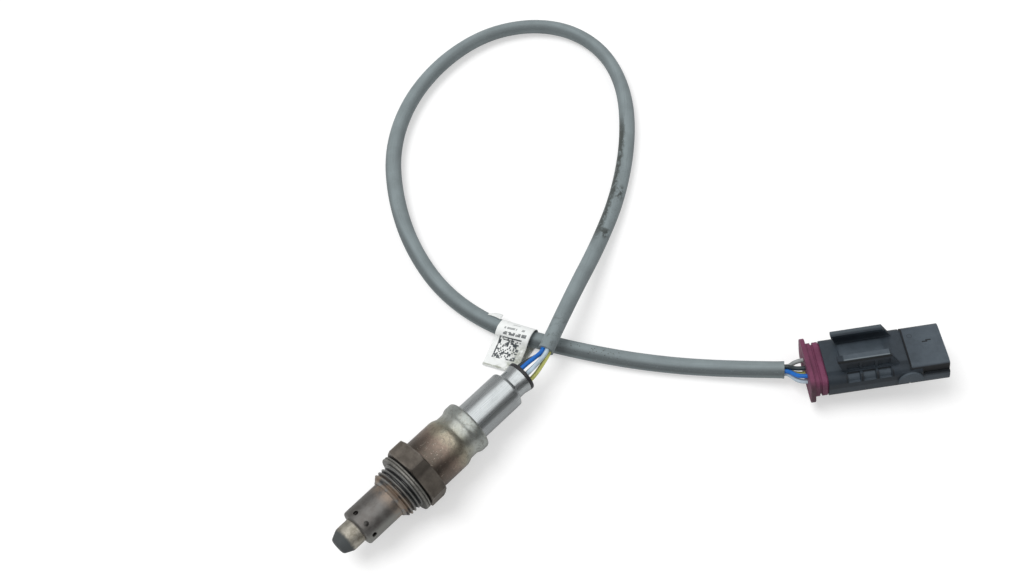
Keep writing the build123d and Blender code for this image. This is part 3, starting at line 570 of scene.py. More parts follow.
def sheath_finish(lead):
    """Dull grey jacket: one side darker with painted shade, drag lines, scuffs and oily stains of use."""
    f = Finish("sheath_grey")
    place = f.place()
    u, v, _ = f.axes(f.node("ShaderNodeUVMap", {"uv_map": "UVMap"}))
    round_lead = f.attribute("round")
    along = u * 1000.0
    cloud = f.noise(place, 9.0, 4.0)
    grain = f.noise(place, 0.6, 3.0, 0.7)
    lines = f.noise(f.vector(along * 0.08, v * 34.0, 0.0), 1.0, 3.0)
    color = f.shades(cloud.rise(0.3, 0.7), lead.sheath, 0.9, 1.1)
    # Two sides darkened by painted shade wind slowly round the lead. By millimetres along it: the degrees
    # of each one's middle, and its strength.
    shade_middle_one = [(0, 37), (50, 40), (105, -62), (142, -42), (177, -18), (200, -8)]
    shade_middle_one += [(241, -27), (268, -46)]
    shade_amount_one = [(0, 0.15), (60, 0.12), (110, 0.3), (177, 0.6), (218, 0.6), (262, 0.25), (276, 0.0)]
    shade_middle_two = [(250, 80), (286, 64), (309, 38), (357, 25), (383, 18), (410, 25), (460, 18)]
    shade_amount_two = [(245, 0.0), (270, 0.5), (310, 0.9), (333, 0.95), (380, 1.15), (460, 1.05)]
    sides = []
    for middle, amount in ((shade_middle_one, shade_amount_one), (shade_middle_two, shade_amount_two)):
        away = (round_lead - f.curve(along, middle)).absolute()
        sides.append(away.rise(46.0, 8.0) * f.curve(along, amount))
    # Painted shade: the stronger of the two sides at each point.
    dark = sides[0].most(sides[1])
    color = f.mix(dark * (0.75 + cloud * 0.4), color, tone(lead.sheath, 0.45))
    color = f.mix(lines.rise(0.5, 0.72) * 0.35, color, tone(lead.sheath, 0.68))
    color = f.mix(grain.rise(0.55, 0.75) * 0.3, color, tone(lead.sheath, 1.35))
    blot = f.noise(place, 2.2, 5.0, 0.7)
    edge = (round_lead + (blot - 0.5) * 100.0).band(-88.0, -27.0, 10.0)
    smear = edge * blot.rise(0.28, 0.5) * along.band(52.0, 108.0, 5.0)
    across = (round_lead + 15.0).absolute().rise(85.0, 35.0) * blot.rise(0.42, 0.56)
    smear = smear.most(across * along.band(72.0, 77.5, 1.8).most(along.band(53.0, 57.5, 1.4)))
    faint = f.noise(place, 1.1, 4.0, 0.7).rise(0.5, 0.7) * along.band(50.0, 90.0, 8.0) * 0.3
    smear = smear.most(faint)
    pitted = along.band(376.0, 399.0, 3.0) * round_lead.band(-50.0, 14.0, 8.0)
    pits = f.cells(place, 0.9).rise(0.33, 0.2) * pitted * f.noise(place, 2.0, 2.0).rise(0.42, 0.5)
    near = blot.rise(0.5, 0.66) * along.band(0.0, 14.0, 3.0) * 0.55
    mask = smear.most(pits * 0.9).most(near).clamped()
    color = f.mix(mask * 0.85, color, lead.dirt)
    rough = 0.52 + cloud * 0.12 - mask * 0.12
    return f.close(color, rough, 0.0, lines * 0.5 + grain * 0.5, 0.05)


def wire_finish(name, color):
    """Glossy extruded insulation."""
    f = Finish("insulation_" + name)
    place = f.place()
    cloud = f.noise(place, 3.0, 3.0)
    shade = f.shades(cloud.rise(0.35, 0.7), color, 0.85, 1.12)
    return f.close(shade, 0.3 + cloud * 0.12, 0.0, f.noise(place, 0.5), 0.01)


def plain_finish(name, color, roughness, metallic, size, depth, spread):
    """Even finish with cloudy tone and fine grain, both widened by size."""
    f = Finish(name)
    place = f.place()
    cloud = f.noise(place, 4.0 * size, 4.0)
    grain = f.noise(place, 0.35 * size, 3.0, 0.65)
    shade = f.shades(cloud.rise(0.3, 0.7), color, 1 - spread, 1 + spread)
    return f.close(shade, roughness + (grain - 0.5) * 0.15, metallic, grain, depth)


def dress(names, material):
    """Gives CAD nodes a material in place of their plain one."""
    for name in names:
        node = NODES[name]
        node.data.materials.clear()
        node.data.materials.append(material)


def soften(node, material, width):
    """Copy of a CAD node with its triangles merged and its edges rounded by a bevel."""
    name = f"{node}_form"
    mesh = bpy.data.meshes.new(name)
    merge(NODES[node].data, mesh, 2e-6, math.radians(1.0))
    mesh.materials.clear()
    mesh.polygons.foreach_set("use_smooth", np.ones(len(mesh.polygons), bool))
    piece = link(name, mesh, material)
    bevel = piece.modifiers.new("Soft edges", "BEVEL")
    bevel.width = width
    bevel.segments = 2
    bevel.limit_method = "ANGLE"
    bevel.angle_limit = math.radians(38.0)
    bevel.harden_normals = True
    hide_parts(node)


def thicken(piece, film):
    """Gives a film its thickness, half to each side."""
    solid = piece.modifiers.new("Film", "SOLIDIFY")
    solid.thickness = film
    solid.offset = 0.0


# ---------------------------------------------------------------- pieces


class SENSOR_OT_stage(Operator):
    """Make the camera, the pale floor and the soft light"""

    bl_idname = "oxygen_sensor.stage"
    bl_label = "Stage"

    def execute(self, context):
        s = context.scene.sensor_stage
        right = Vector(CAMERA_RIGHT).normalized()
        look = Vector(CAMERA_LOOK).normalized()
        up = right.cross(look)
        camera = placed("camera", bpy.data.cameras.new("camera"))
        camera.data.lens = s.lens
        camera.data.sensor_width = 36.0
        camera.data.clip_start = 0.01
        camera.data.clip_end = 50.0
        turn = Matrix((right, up, -look)).transposed()
        camera.matrix_world = Matrix.Translation(CAMERA_PLACE) @ turn.to_4x4()
        context.scene.camera = camera

        edge = np.linspace(-4.0, 4.0, 9)
        x, y = np.meshgrid(edge, edge, indexing="ij")
        ground = np.stack([x, y, np.full_like(x, FLOOR_Z)], -1)
        mesh = surface("floor", ground, wrap=(False, False))
        # The camera sees the floor near white, so that shadows on it stay pale.
        f = Finish("floor_pale")
        seen, glossy, through = f.rays()
        glow = seen.most(through, glossy * 0.2)
        shine = {"Specular_IOR_Level": 0.0, "Emission_Color": glow, "Emission_Strength": 0.45}
        f.close(tuple(s.floor), 0.9, **shine)
        floor = placed("floor", mesh)
        mesh.materials.append(f.material)
        if mesh.polygons[0].normal.z < 0:
            mesh.flip_normals()

        # Metals see a bright panel overhead between darker walls, and the camera sees white.
        sky = Finish("studio", sky=True)
        _, y, z = sky.axes(sky.node("ShaderNodeTexCoord"))
        seen, glossy, through = sky.rays()
        wall = 0.17 + y.rise(-0.4, 0.5) * 0.33
        panel = (z + y * 0.02).rise(0.64, 0.86)
        shown = wall + (s.panel - wall) * panel
        strength = s.world + (shown - s.world) * glossy
        strength = strength + (1.0 - strength) * seen.most(through)
        values = {"Color": (1.0, 1.0, 1.0), "Strength": strength}
        shader = sky.node("ShaderNodeBackground", None, values)
        output = sky.tree.nodes.new("ShaderNodeOutputWorld")
        sky.tree.links.new(shader.socket, output.inputs["Surface"])
        context.scene.world = sky.material

        # A wide sun, which metals don't mirror.
        lamp = bpy.data.lights.new("key", "SUN")
        lamp.angle = math.radians(32.0)
        lamp.energy = s.key * math.pi
        key = placed("key", lamp)
        key.visible_glossy = False
        rays = Vector((0.24, -0.38, -0.9))
        key.matrix_world = rays.to_track_quat("-Z", "Y").to_matrix().to_4x4()
        context.scene.view_settings.view_transform = "Standard"
        return {"FINISHED"}


def lead_line():
    """The lead's middle line, evenly spaced."""
    return resampled(spline_points("lead_line", ROUTE), 1.1 * MM)


class SENSOR_OT_sheath(Operator):
    """Make the grey sheath, an oval tube that twists slowly along the lead"""

    bl_idname = "oxygen_sensor.sheath"
    bl_label = "Sheath"

    def execute(self, context):
        s = context.scene.sensor_lead
        line = lead_line()
        along = run_length(line) / MM
        total = along[-1]
        # The oval section turns along the lead and flares a little at both ends.
        places = [0, 60, 105, 140, 165, 215, 300, 360, total]
        turn = np.radians(np.interp(along, places, [70, 20, 0, 75, 80, 30, -5, 0, 10]))
        flare = 1 + 0.035 * (np.exp(-along / 1.2) + np.exp((along - total) / 1.2))
        swell = 0.06 * np.exp(-along / 4.0) + 0.06 * np.exp((along - total) / 4.0)
        wide = s.width / 2 * flare
        high = s.thickness / 2 * (flare + swell)
        columns = 40
        outer = oval_tube(line, wide, high, turn, columns)
        # The inside's rows run backwards from the far end, three times further apart, and their
        # sections are mirrored to keep the columns in line.
        inner_line = line[::-1][::3]
        if not np.allclose(inner_line[-1], line[0]):
            inner_line = np.concatenate([inner_line, line[:1]])
        inner_run = run_length(inner_line)
        back = np.interp(inner_run, [0, inner_run[-1]], [total, 0])
        inner_wide = np.interp(back, along, wide) - s.wall
        inner_high = np.interp(back, along, high) - s.wall * 0.75
        inner = oval_tube(inner_line, inner_wide, inner_high, np.interp(back, along, turn), columns)
        inner = inner[:, (columns // 2 - np.arange(columns)) % columns]
        grid = np.concatenate([outer, inner])
        rows = np.concatenate([along, back])
        round_share = np.arange(columns) / columns
        uv = np.stack(np.broadcast_arrays(rows[:, None] / 1000, round_share[None, :]), -1)
        # Degrees round the lead, from the side that faces the camera. They place the painted shade on the
        # sheath's sides and its stains.
        _, side, up = frames(line)
        facing = np.array([-0.31, -0.31, 0.9])
        top = np.arctan2(up @ facing, side @ facing)
        spots = 2 * np.pi * round_share[None, :] + (turn - top)[:, None]
        spots = np.degrees(np.mod(spots + np.pi, 2 * np.pi) - np.pi)
        inside = spots[np.searchsorted(along, np.clip(back, 0, total - 0.01))]
        values = {"round": np.concatenate([spots, inside])}
        how = {"wrap": (True, True), "uv": uv, "values": values}
        stand_in("cable_sheath", grid, sheath_finish(s), "grey_sheath", **how)
        return {"FINISHED"}


def wire_controls(index):
    """Control points of one wire: grommet, sheath and plug, beside the lead's own points."""
    route = np.array(ROUTE)
    along, side, up = frames(route)
    twist = np.radians(SHEATH_ANGLES[index] + LAY_TWIST * np.linspace(0, 1, len(route)))[:, None]
    beside = route + SHEATH_RADIUS * MM * (side * np.cos(twist) + up * np.sin(twist))
    turn = math.radians(GROMMET_ANGLES[index])
    y, z = GROMMET_RADIUS * MM * math.cos(turn), GROMMET_RADIUS * MM * math.sin(turn)
    head = [(0.0397, y, z), (0.0560, y, z), (0.0600, y * 1.04, z * 1.04)]
    column, row = WIRE_CELLS[index]
    cell_y, cell_z = column * CELL_WIDTH * MM, row * CELL_HEIGHT * MM
    tail = [tuple(PLUG_MATRIX @ Vector((x * MM, cell_y, cell_z))) for x in (-2.6, 4.0, 15.9)]
    lead_in = beside[0] - along[0] * 2.0 * MM
    lead_out = beside[-1] + along[-1] * 1.6 * MM
    return np.array([*head, lead_in, *beside, lead_out, *tail])


class SENSOR_OT_wires(Operator):
    """Make the five insulated wires, which run through the sheath and fan out at both ends"""

    bl_idname = "oxygen_sensor.wires"
    bl_label = "Wires"

    def execute(self, context):
        s = context.scene.sensor_lead
        columns = 14
        for index, name in enumerate(WIRES):
            line = resampled(spline_points("wire_line", wire_controls(index)), 0.9 * MM)
            grid = oval_tube(line, s.wire_radius, s.wire_radius, 0.0, columns)
            start, end = (np.broadcast_to(line[k], (1, columns, 3)) for k in (0, -1))
            grid = np.concatenate([start, grid, end])
            finish = wire_finish(name, getattr(s, name))
            stand_in(f"wire_{name}", grid, finish, f"wire_{name}", poles=True)
        return {"FINISHED"}


class SENSOR_OT_declare_lead(Operator):
    """Work out the lead's middle line"""

    bl_idname = "oxygen_sensor.declare_lead"
    bl_label = "Lead facts"

    def execute(self, context):
        line = lead_line()
        return {"FINISHED"}


def tag_finish(tag):
    """White film with a printed square of random cells and plain bars, smudged by handling, and a painted
    shadow line along its fold.
    """
    f = Finish("tag_film")
    place = f.place()
    u, v, _ = f.axes(f.node("ShaderNodeUVMap", {"uv_map": "UVMap"}))
    across = u * 1000.0
    above = v * 1000.0
    up = above - (across + 4.5) * 0.07
    # Cells of the printed square, 0 to last each way, two of whose sides are solid.
    cell = tag.cell / MM
    last = 15.0
    column = ((across + 4.5) / cell).whole()
    row = ((up - 3.3) / (cell * 1.11)).whole()
    random = f.chance(f.vector(column, row, 0.0)).over(0.5)
    inside = column.over(-0.5) * (last + 0.5 - column).over(0.0)
    inside = inside * row.over(-0.5) * (last + 0.5 - row).over(0.0)
    solid = (0.5 - column).over(0.0).most(row.over(last - 0.5))
    square = inside * random.most(solid)
    bars = f.chance(f.vector((across / 0.36).whole(), (up / 1.3).whole(), 0.0)).over(0.3)
    line_one = up.band(13.5, 14.7, 0.05) * across.band(-3.6, 5.0, 0.05)
    line_two = up.band(15.6, 16.4, 0.05) * across.band(-3.9, 3.6, 0.05)
    line_three = up.band(17.5, 18.0, 0.05) * across.band(-1.6, 1.2, 0.05)
    bars = bars * line_one.most(line_two * 0.75, line_three * 0.4)
    worn = f.noise(place, 0.8, 3.0, 0.7).rise(0.72, 0.52)
    ink = (square * worn).most(bars * worn * 0.85)
    cloud = f.noise(place, 2.4, 5.0, 0.68)
    grime = (across + cloud * 6.0).rise(2.0, 7.5) * up.rise(12.5, 8.0)
    smudges_and_fold_shadow = cloud.rise(0.56, 0.75) * 0.4 + grime * cloud.rise(0.28, 0.6) * 0.85
    # A painted shadow line along the fold, darker in patches.
    smudges_and_fold_shadow = smudges_and_fold_shadow + above.band(-0.3, 0.35, 0.15) * cloud.rise(0.3, 0.5) * 0.8
    paper = f.mix(smudges_and_fold_shadow.clamped(), tuple(tag.paper), (0.36, 0.38, 0.32))
    color = f.mix(ink, paper, tuple(tag.ink))
    return f.close(color, 0.42 + cloud * 0.2, 0.0, f.noise(place, 1.6, 4.0), 0.08)


def tag_section(reach, radius, leave, root, layer):
    """Closed middle line of the film across the lead, in millimetres: (side, height).

    A circle arc runs from below the lead over it to the angle leave. A cubic curve bends the film
    out to the root of the flag, and straight layers run on to a half circle at the fold. The
    lower layer lies at the height layer. Also gives how many points come before the fold.
    """
    lift = layer + radius
    turn = np.radians(np.linspace(-90, leave, 40))[:, None]
    loop = np.hstack([radius * np.cos(turn), lift + radius * np.sin(turn)])
    root = np.array(root)
    way = 2.6 * np.array([-np.sin(turn[-1, 0]), np.cos(turn[-1, 0])])
    out = 2.6 * np.array([-0.97, -0.24])
    t = np.linspace(0, 1, 14)[1:, None]
    bend = (2 * t**3 - 3 * t**2 + 1) * loop[-1] + (t**3 - 2 * t**2 + t) * way
    bend = bend + (3 * t**2 - 2 * t**3) * root + (t**3 - t**2) * out
    fold = 0.47
    end = np.array([fold - reach, layer + 2 * fold])
    t = np.linspace(0, 1, 26)[1:, None]
    upper = root + (end - root) * t - [[0, 0.35]] * np.sin(np.pi * t)
    turn = np.radians(np.linspace(90, 270, 9)[1:-1])[:, None]
    folded = np.hstack([end[0] + fold * np.cos(turn), layer + fold + fold * np.sin(turn)])
    t = np.linspace(0, 1, 30)[:-1, None]
    lower = np.array([end[0], layer]) + np.array([-end[0], 0.0]) * t
    return np.concatenate([loop, bend, upper, folded, lower]), len(loop) + len(bend) + len(upper)


class SENSOR_OT_tag(Operator):
    """Make the film tag that is looped round the lead"""

    bl_idname = "oxygen_sensor.tag"
    bl_label = "Tag"

    def execute(self, context):
        s = context.scene.sensor_tag
        spot = np.array([0.06895, 0.01647, -0.0093])
        forward = np.array([0.3846, -0.9231, 0.0])
        upward = np.array([0.0, 0.0, 1.0])
        side = np.cross(upward, forward)
        reach = s.reach / MM
        near, turns = tag_section(reach + 0.2, 3.3, 172.0, (-5.2, -1.5), -3.17)
        far, _ = tag_section(reach - 0.8, 3.85, 158.0, (-5.8, 0.1), -3.12)
        share = np.linspace(0, 1, 27)[None, :]
        section = near[:, None] * (1 - share[..., None]) + far[:, None] * share[..., None]
        # Point (i, j) is spot + side s + upward h + forward p, where s and h go from the near
        # section to the far one as j grows, and p runs across the film's width.
        # The flag's end rises a little toward the plug. The film is wound askew: its lower layer
        # stands out past the upper one at the plug's side, most of all under the lead.
        flag = np.clip(-section[..., 0] / reach, 0, 1)
        count = len(section)
        step = np.arange(count)[:, None]
        loop_part = np.clip(1 - step / 30, 0, 1)
        lower_part = np.clip((step - turns) / (count - turns), 0, 1)
        askew = 2.4 * np.maximum(loop_part, lower_part) ** 1.3
        across = (share - 0.5) * s.width
        place = across + MM * (askew + 0.4 * (1 - flag))
        height = section[..., 1] + flag * share**1.5
        points = spot + MM * section[..., :1] * side + MM * height[..., None] * upward
        points = points + place[..., None] * forward
        travel = run_length(near)
        up = (travel[turns - 1] - travel) * MM
        uv = np.stack(np.broadcast_arrays(across, up[:, None]), -1)
        finish = tag_finish(s)
        how = {"wrap": (True, False), "uv": uv, "sharp": 70.0}
        piece = stand_in("wire_tag", points, finish, "tag_film", **how)
        thicken(piece, s.film)

        # Loose end of the film: a tongue beside the lead that narrows away from the loop. Point
        # (u, v) lies 6.2 + 5 u back along the lead, 2.3 + 2.6 lean + 0.2 sin(pi u) beside it and
        # 2.45 - 1.55 lean + 0.1 sin(pi u) up, in millimetres, with lean = (1 - v) (1 - 0.75 u^1.6).
        u, v = np.meshgrid(np.linspace(0, 1, 16), np.linspace(0, 1, 8), indexing="ij")
        lean = (1 - v) * (1 - 0.75 * u**1.6)
        away = (2.3 + 2.6 * lean + 0.2 * np.sin(np.pi * u)) * MM
        height = (2.45 - 1.55 * lean + 0.1 * np.sin(np.pi * u)) * MM
        back = (-6.2 - 5.0 * u) * MM
        points = spot + away[..., None] * side + height[..., None] * upward
        points = points + back[..., None] * forward
        uv = np.stack([back, np.full_like(back, -0.01)], -1)
        mesh = surface("wire_tag_end_form", points, wrap=(False, False), uv=uv)
        tongue = link("wire_tag_end_form", mesh, finish)
        thicken(tongue, s.film)
        return {"FINISHED"}


def shell_finish(s):
    """Burnt steel: brown hexagon with edges lighter from wear and painted highlight, one flat under
    painted shade, dark oiled thread with painted highlights on its crests, bronze at its start.
    """
    f = Finish("shell_burnt_steel")
    place = f.place()
    x, y, z = f.axes(place)
    wear = f.attribute("wear")
    groove = f.attribute("groove")
    cloud = f.noise(place, 3.2, 5.0, 0.6)
    fine = f.noise(place, 0.45, 4.0, 0.7)
    hexagon = f.shades(cloud.rise(0.3, 0.7), s.hexagon, 0.78, 1.3)
    # Painted shade darkens the flat beside the upper corner; the other flats keep their corners lighter,
    # from wear and painted highlight.
    beside = y + z * 0.128
    painted_flat_shade = beside.band(-3.4, 0.4, 0.9) * 0.5 + beside.rise(-1.0, -3.0) * 0.22
    worn = wear * fine.rise(0.3, 0.6) * (0.6 - painted_flat_shade)
    hexagon = f.mix(worn.clamped(), hexagon, (0.28, 0.255, 0.23))
    hexagon = f.mix(painted_flat_shade * z.rise(0.0, 4.0), hexagon, tone(s.hexagon, 0.25))
    # Painted highlights: the thread's crests lighter than its roots, and light rings round it.
    thread = f.mix(groove.rise(0.2, 0.8), (0.29, 0.29, 0.28), tone(s.thread, 0.5))
    rings = f.noise(f.stretched(place, (1.0, 0.07, 0.07)), 0.3, 2.0)
    thread = f.mix(rings.rise(0.5, 0.7) * 0.5, thread, (0.36, 0.36, 0.35))
    patch = f.noise(place, 3.4, 2.0).rise(0.36, 0.58)
    bronze = f.shades(cloud, s.bronze, 0.7, 1.25)
    thread = f.mix(x.rise(-2.6, -5.4) * patch * 0.62, thread, bronze)
    color = f.mix(x.rise(0.0, 1.2), thread, hexagon)
    rough = 0.46 + fine * 0.16 - wear * 0.1
    return f.close(color, rough, 0.82, fine * 0.6 + cloud * 0.4, 0.06)


class SENSOR_OT_shell(Operator):
    """Make the threaded shell with its hexagon, collar and bore"""

    bl_idname = "oxygen_sensor.shell"
    bl_label = "Threaded shell"

    def execute(self, context):
        s = context.scene.sensor_body
        columns = 240
        first_corner = math.radians(97.3)
        angle = first_corner + np.linspace(0, 2 * np.pi, columns, endpoint=False)
        sector = np.mod(angle - first_corner + 1e-9, np.pi / 3) - np.pi / 6
        # Radii of the flats, corners, thread's crest and neck, and the two ends of the hexagon.
        flat, crest, neck = 11.0, 9.0, 8.4
        corner = flat / math.cos(math.pi / 6)
        hex_start, hex_end = 2.5, 9.0
        pitch, depth = s.pitch / MM, s.depth / MM

        def hexed(x):
            """Radius of the hexagon at x, chamfered at both ends."""
            inward = np.minimum(x - hex_start, hex_end - x)
            return np.minimum(flat / np.cos(sector)[None, :], corner - 1.2 + inward * 2.0)

        def outside(x):
            """Radius at x: run-in chamfer, helical thread, neck and hexagon."""
            x = x[:, None]
            phase = np.mod(x / pitch - angle[None, :] / (2 * np.pi), 1.0)
            tooth = np.clip(np.abs(2 * phase - 1) * 1.35 - 0.12, 0, 1)
            fade = np.clip((x + 6.25) / 0.9, 0, 1) * np.clip((-0.1 - x) / 0.35, 0, 1)
            thread = np.minimum(crest - depth * tooth * fade, 8.25 + np.clip(x + 6.0, 0, 1))
            return np.where(x < 0, thread, np.where(x < hex_start - 1e-6, neck, hexed(x)))

        def rings(profile):
            """The x and the radii of rings given as (x, radius)."""
            profile = np.array(profile)
            return profile[:, 0], np.repeat(profile[:, 1:], columns, 1)

        x_thread = np.arange(-6.0, -0.01, 0.055)
        spans = [(hex_start, 3.1), (3.6, 7.9), (8.4, hex_end)]
        x_hex = np.concatenate([np.linspace(*span, 9) for span in spans])
        bore = [(18.2, 9.1), (18.2, 6.7), (17.2, 6.7), (17.2, 7.6), (16.0, 7.6)]
        bore += [(16.0, 5.95), (-1.0, 5.95), (-1.0, 5.0), (-3.2, 5.0), (-3.2, 6.85)]
        parts = [
            rings([(-7.2, 6.85), (-7.2, 7.1), (-7.05, 7.36), (-6.9, 7.45), (-6.05, 8.16)]),
            (x_thread, outside(x_thread)),
            rings([(0.0, 8.9), (0.0, neck), (hex_start, neck)]),
            (x_hex, outside(x_hex)),
            rings([(hex_end, 9.1)] + bore),
        ]
        # Point (i, j) is (x_i, r_ij cos a_j, r_ij sin a_j).
        x = np.concatenate([part[0] for part in parts])[:, None] * np.ones((1, columns))
        r = np.concatenate([part[1] for part in parts])
        grid = np.stack([x, r * np.cos(angle), r * np.sin(angle)], -1) * MM
        # Where the hexagon's corners and rims are lighter, from wear and painted highlight, and how deep
        # the thread is, whose crests the finish paints lighter.
        on_hex = (x > 2.45) & (x < 9.05) & (r > 9.5)
        near_corner = np.exp(-((np.pi / 6 - np.abs(sector[None, :])) * 12.0 / 0.45) ** 2)
        near_rim = np.exp(-((r - hexed(x)) / 0.3) ** 2)
        near_rim = near_rim * (np.minimum(x - hex_start, hex_end - x) < 0.5)
        wear = np.where(on_hex, np.clip(near_corner + 0.5 * near_rim, 0, 1), 0)
        groove = np.where((x < 0) & (x > -6.1), np.clip((crest - r) / depth, 0, 1), 0)
        how = {"wrap": (True, True), "values": {"wear": wear, "groove": groove}, "sharp": 32.0}
        stand_in("hex_shell", grid, shell_finish(s), "shell_steel", **how)
        return {"FINISHED"}


def gasket_finish():
    """Dull grey ring with a bright rim, near black in its folds towards the hexagon."""
    f = Finish("gasket_dull")
    place = f.place()
    x, y, z = f.axes(place)
    radius = (y * y + z * z) ** 0.5
    fine = f.noise(place, 0.5, 4.0, 0.7)
    cloud = f.noise(place, 2.5, 4.0)
    color = f.mix(cloud.rise(0.3, 0.7), (0.1, 0.098, 0.09), (0.2, 0.195, 0.18))
    color = f.mix(radius.rise(10.9, 11.2) * fine.rise(0.35, 0.6) * 0.45, color, (0.36, 0.35, 0.32))
    # Near black towards the hexagon and inside the fold.
    dirt = x.rise(1.75, 1.95).most(radius.rise(10.6, 10.2) * x.rise(0.5, 0.7))
    color = f.mix(dirt, color, (0.008, 0.008, 0.008))
    return f.close(color, 0.45 + dirt * 0.4, 0.75 - dirt * 0.7, fine, 0.05)


class SENSOR_OT_gasket(Operator):
    """Make the crush gasket: a ring folded from sheet, with a groove round its rim"""

    bl_idname = "oxygen_sensor.gasket"
    bl_label = "Gasket"

    def execute(self, context):
        profile = [(0.0, 8.65), (0.0, 11.0), (0.3, 11.2), (0.75, 11.2), (0.98, 10.85), (1.06, 10.85)]
        profile += [(1.25, 11.2), (1.65, 11.15), (1.85, 10.9), (1.9, 10.1), (2.5, 9.9), (2.5, 8.65)]
        turned_piece("seal_gasket", rounded(profile, 0.12, 4), gasket_finish(), "gasket_steel")
        return {"FINISHED"}


def shield_finish(s):
    """Tip steel: grey-brown outer tube with a painted highlight along one side, straw nose and a sooty
    cone.
    """
    f = Finish("tip_sooty_steel")
    place = f.place()
    x, y, z = f.axes(place)
    cloud = f.noise(place, 3.0, 5.0, 0.6)
    streak = f.noise(f.stretched(place, (0.25, 1.0, 1.0)), 0.8, 4.0, 0.6)
    fine = f.noise(place, 0.35, 4.0, 0.7)
    tube = f.mix(cloud.rise(0.35, 0.68), (0.14, 0.132, 0.124), (0.185, 0.18, 0.172))
    tube = f.mix(streak.rise(0.55, 0.75) * 0.35, tube, (0.1, 0.095, 0.09))
    # A painted highlight lightens the tube's side towards -y.
    tube = f.mix((y + z * 0.3).rise(-3.6, -5.6) * 0.7, tube, (0.29, 0.295, 0.275))
    tube = f.mix(x.rise(-12.0, -6.5) * cloud.rise(0.3, 0.6) * 0.7, tube, tuple(s.bronze))
    nose = f.mix(cloud.rise(0.35, 0.7), (0.22, 0.203, 0.165), (0.5, 0.475, 0.41))
    color = f.mix(x.rise(-22.2, -21.7), nose, tube)
    edge = f.noise(place, 1.4, 3.0) * 1.2
    soot = (x + edge).rise(-25.3, -27.0)
    color = f.mix(soot, color, tuple(s.soot))
    rough = 0.38 + cloud * 0.18 + soot * 0.22
    return f.close(color, rough, 0.9 - soot * 0.55, fine * 0.5 + streak * 0.5, 0.04)


def sleeve_finish():
    """Heat tinted sleeve: brown near the hexagon, then pink and straw, grey towards the bulge."""
    f = Finish("sleeve_heat_tint")
    place = f.place()
    x = f.axes(place)[0]
    cloud = f.noise(place, 4.2, 4.0, 0.55)
    wide = f.noise(place, 8.0, 3.0)
    fine = f.noise(f.stretched(place, (1.0, 0.35, 0.35)), 0.4, 4.0, 0.65)
    drift = x + (cloud - 0.5) * 7.0 + (wide - 0.5) * 4.0
    stops = [
        (0.0, (0.095, 0.078, 0.065)),
        (0.2, (0.15, 0.118, 0.098)),
        (0.34, (0.235, 0.182, 0.148)),
        (0.5, (0.34, 0.305, 0.235)),
        (0.62, (0.3, 0.3, 0.245)),
        (0.76, (0.38, 0.4, 0.375)),
        (1.0, (0.36, 0.386, 0.368)),
    ]
    ramp = f.node("ShaderNodeValToRGB", {"stops": stops}, {0: (drift - 9.0) / 22.0})
    scratch = f.noise(f.stretched(place, (1.6, 0.3, 1.2)), 0.5, 2.0, 0.5, 0.6).rise(0.66, 0.72)
    skew = f.noise(f.stretched(place, (0.45, 1.5, 0.9)), 0.6, 3.0, 0.6, 0.9).rise(0.64, 0.7)
    color = f.mix(scratch.most(skew) * 0.55, ramp, (0.52, 0.46, 0.39))
    dull = f.noise(place, 1.1, 5.0, 0.75, 0.8)
    color = f.mix(dull.rise(0.48, 0.6) * 0.42, color, (0.13, 0.12, 0.1))
    # A painted highlight lightens a band round the waist's sunk ring.
    painted_waist_highlight = x.band(22.6, 26.4, 1.2) * (0.4 + cloud)
    color = f.mix(painted_waist_highlight.clamped() * 0.22, color, (0.55, 0.56, 0.51))
    rough = 0.24 + cloud * 0.14 + fine * 0.05
    return f.close(color, rough + dull.rise(0.45, 0.7) * 0.1, 0.95, fine * 0.35 + dull * 0.65, 0.085)


def bright_finish(s):
    """Bright drawn steel with fine lines along the sleeve."""
    f = Finish("sleeve_bright_steel")
    place = f.place()
    x, y, z = f.axes(place)
    lines = f.noise(f.stretched(place, (0.03, 1.0, 1.0)), 0.35, 3.0, 0.6)
    cloud = f.noise(place, 5.0, 4.0)
    color = f.shades(lines.rise(0.35, 0.7), s.steel, 0.9, 1.08)
    color = f.mix(cloud.rise(0.5, 0.75) * 0.25, color, tone(s.steel, 0.7))
    # The flanks are painted darker as far as the neck: painted shade.
    painted_flank_shade = (z + y * 0.45).rise(3.4, 0.0) * x.rise(49.0, 47.0)
    color = f.mix(painted_flank_shade * 0.35, color, tone(s.steel, 0.5))
    speck = f.noise(place, 0.8, 4.0, 0.7).rise(0.55, 0.72)
    color = f.mix(speck * 0.26, color, tone(s.steel, 0.5))
    return f.close(color, 0.22 + lines * 0.12 + speck * 0.08, 1.0, lines + speck * 0.3, 0.014)


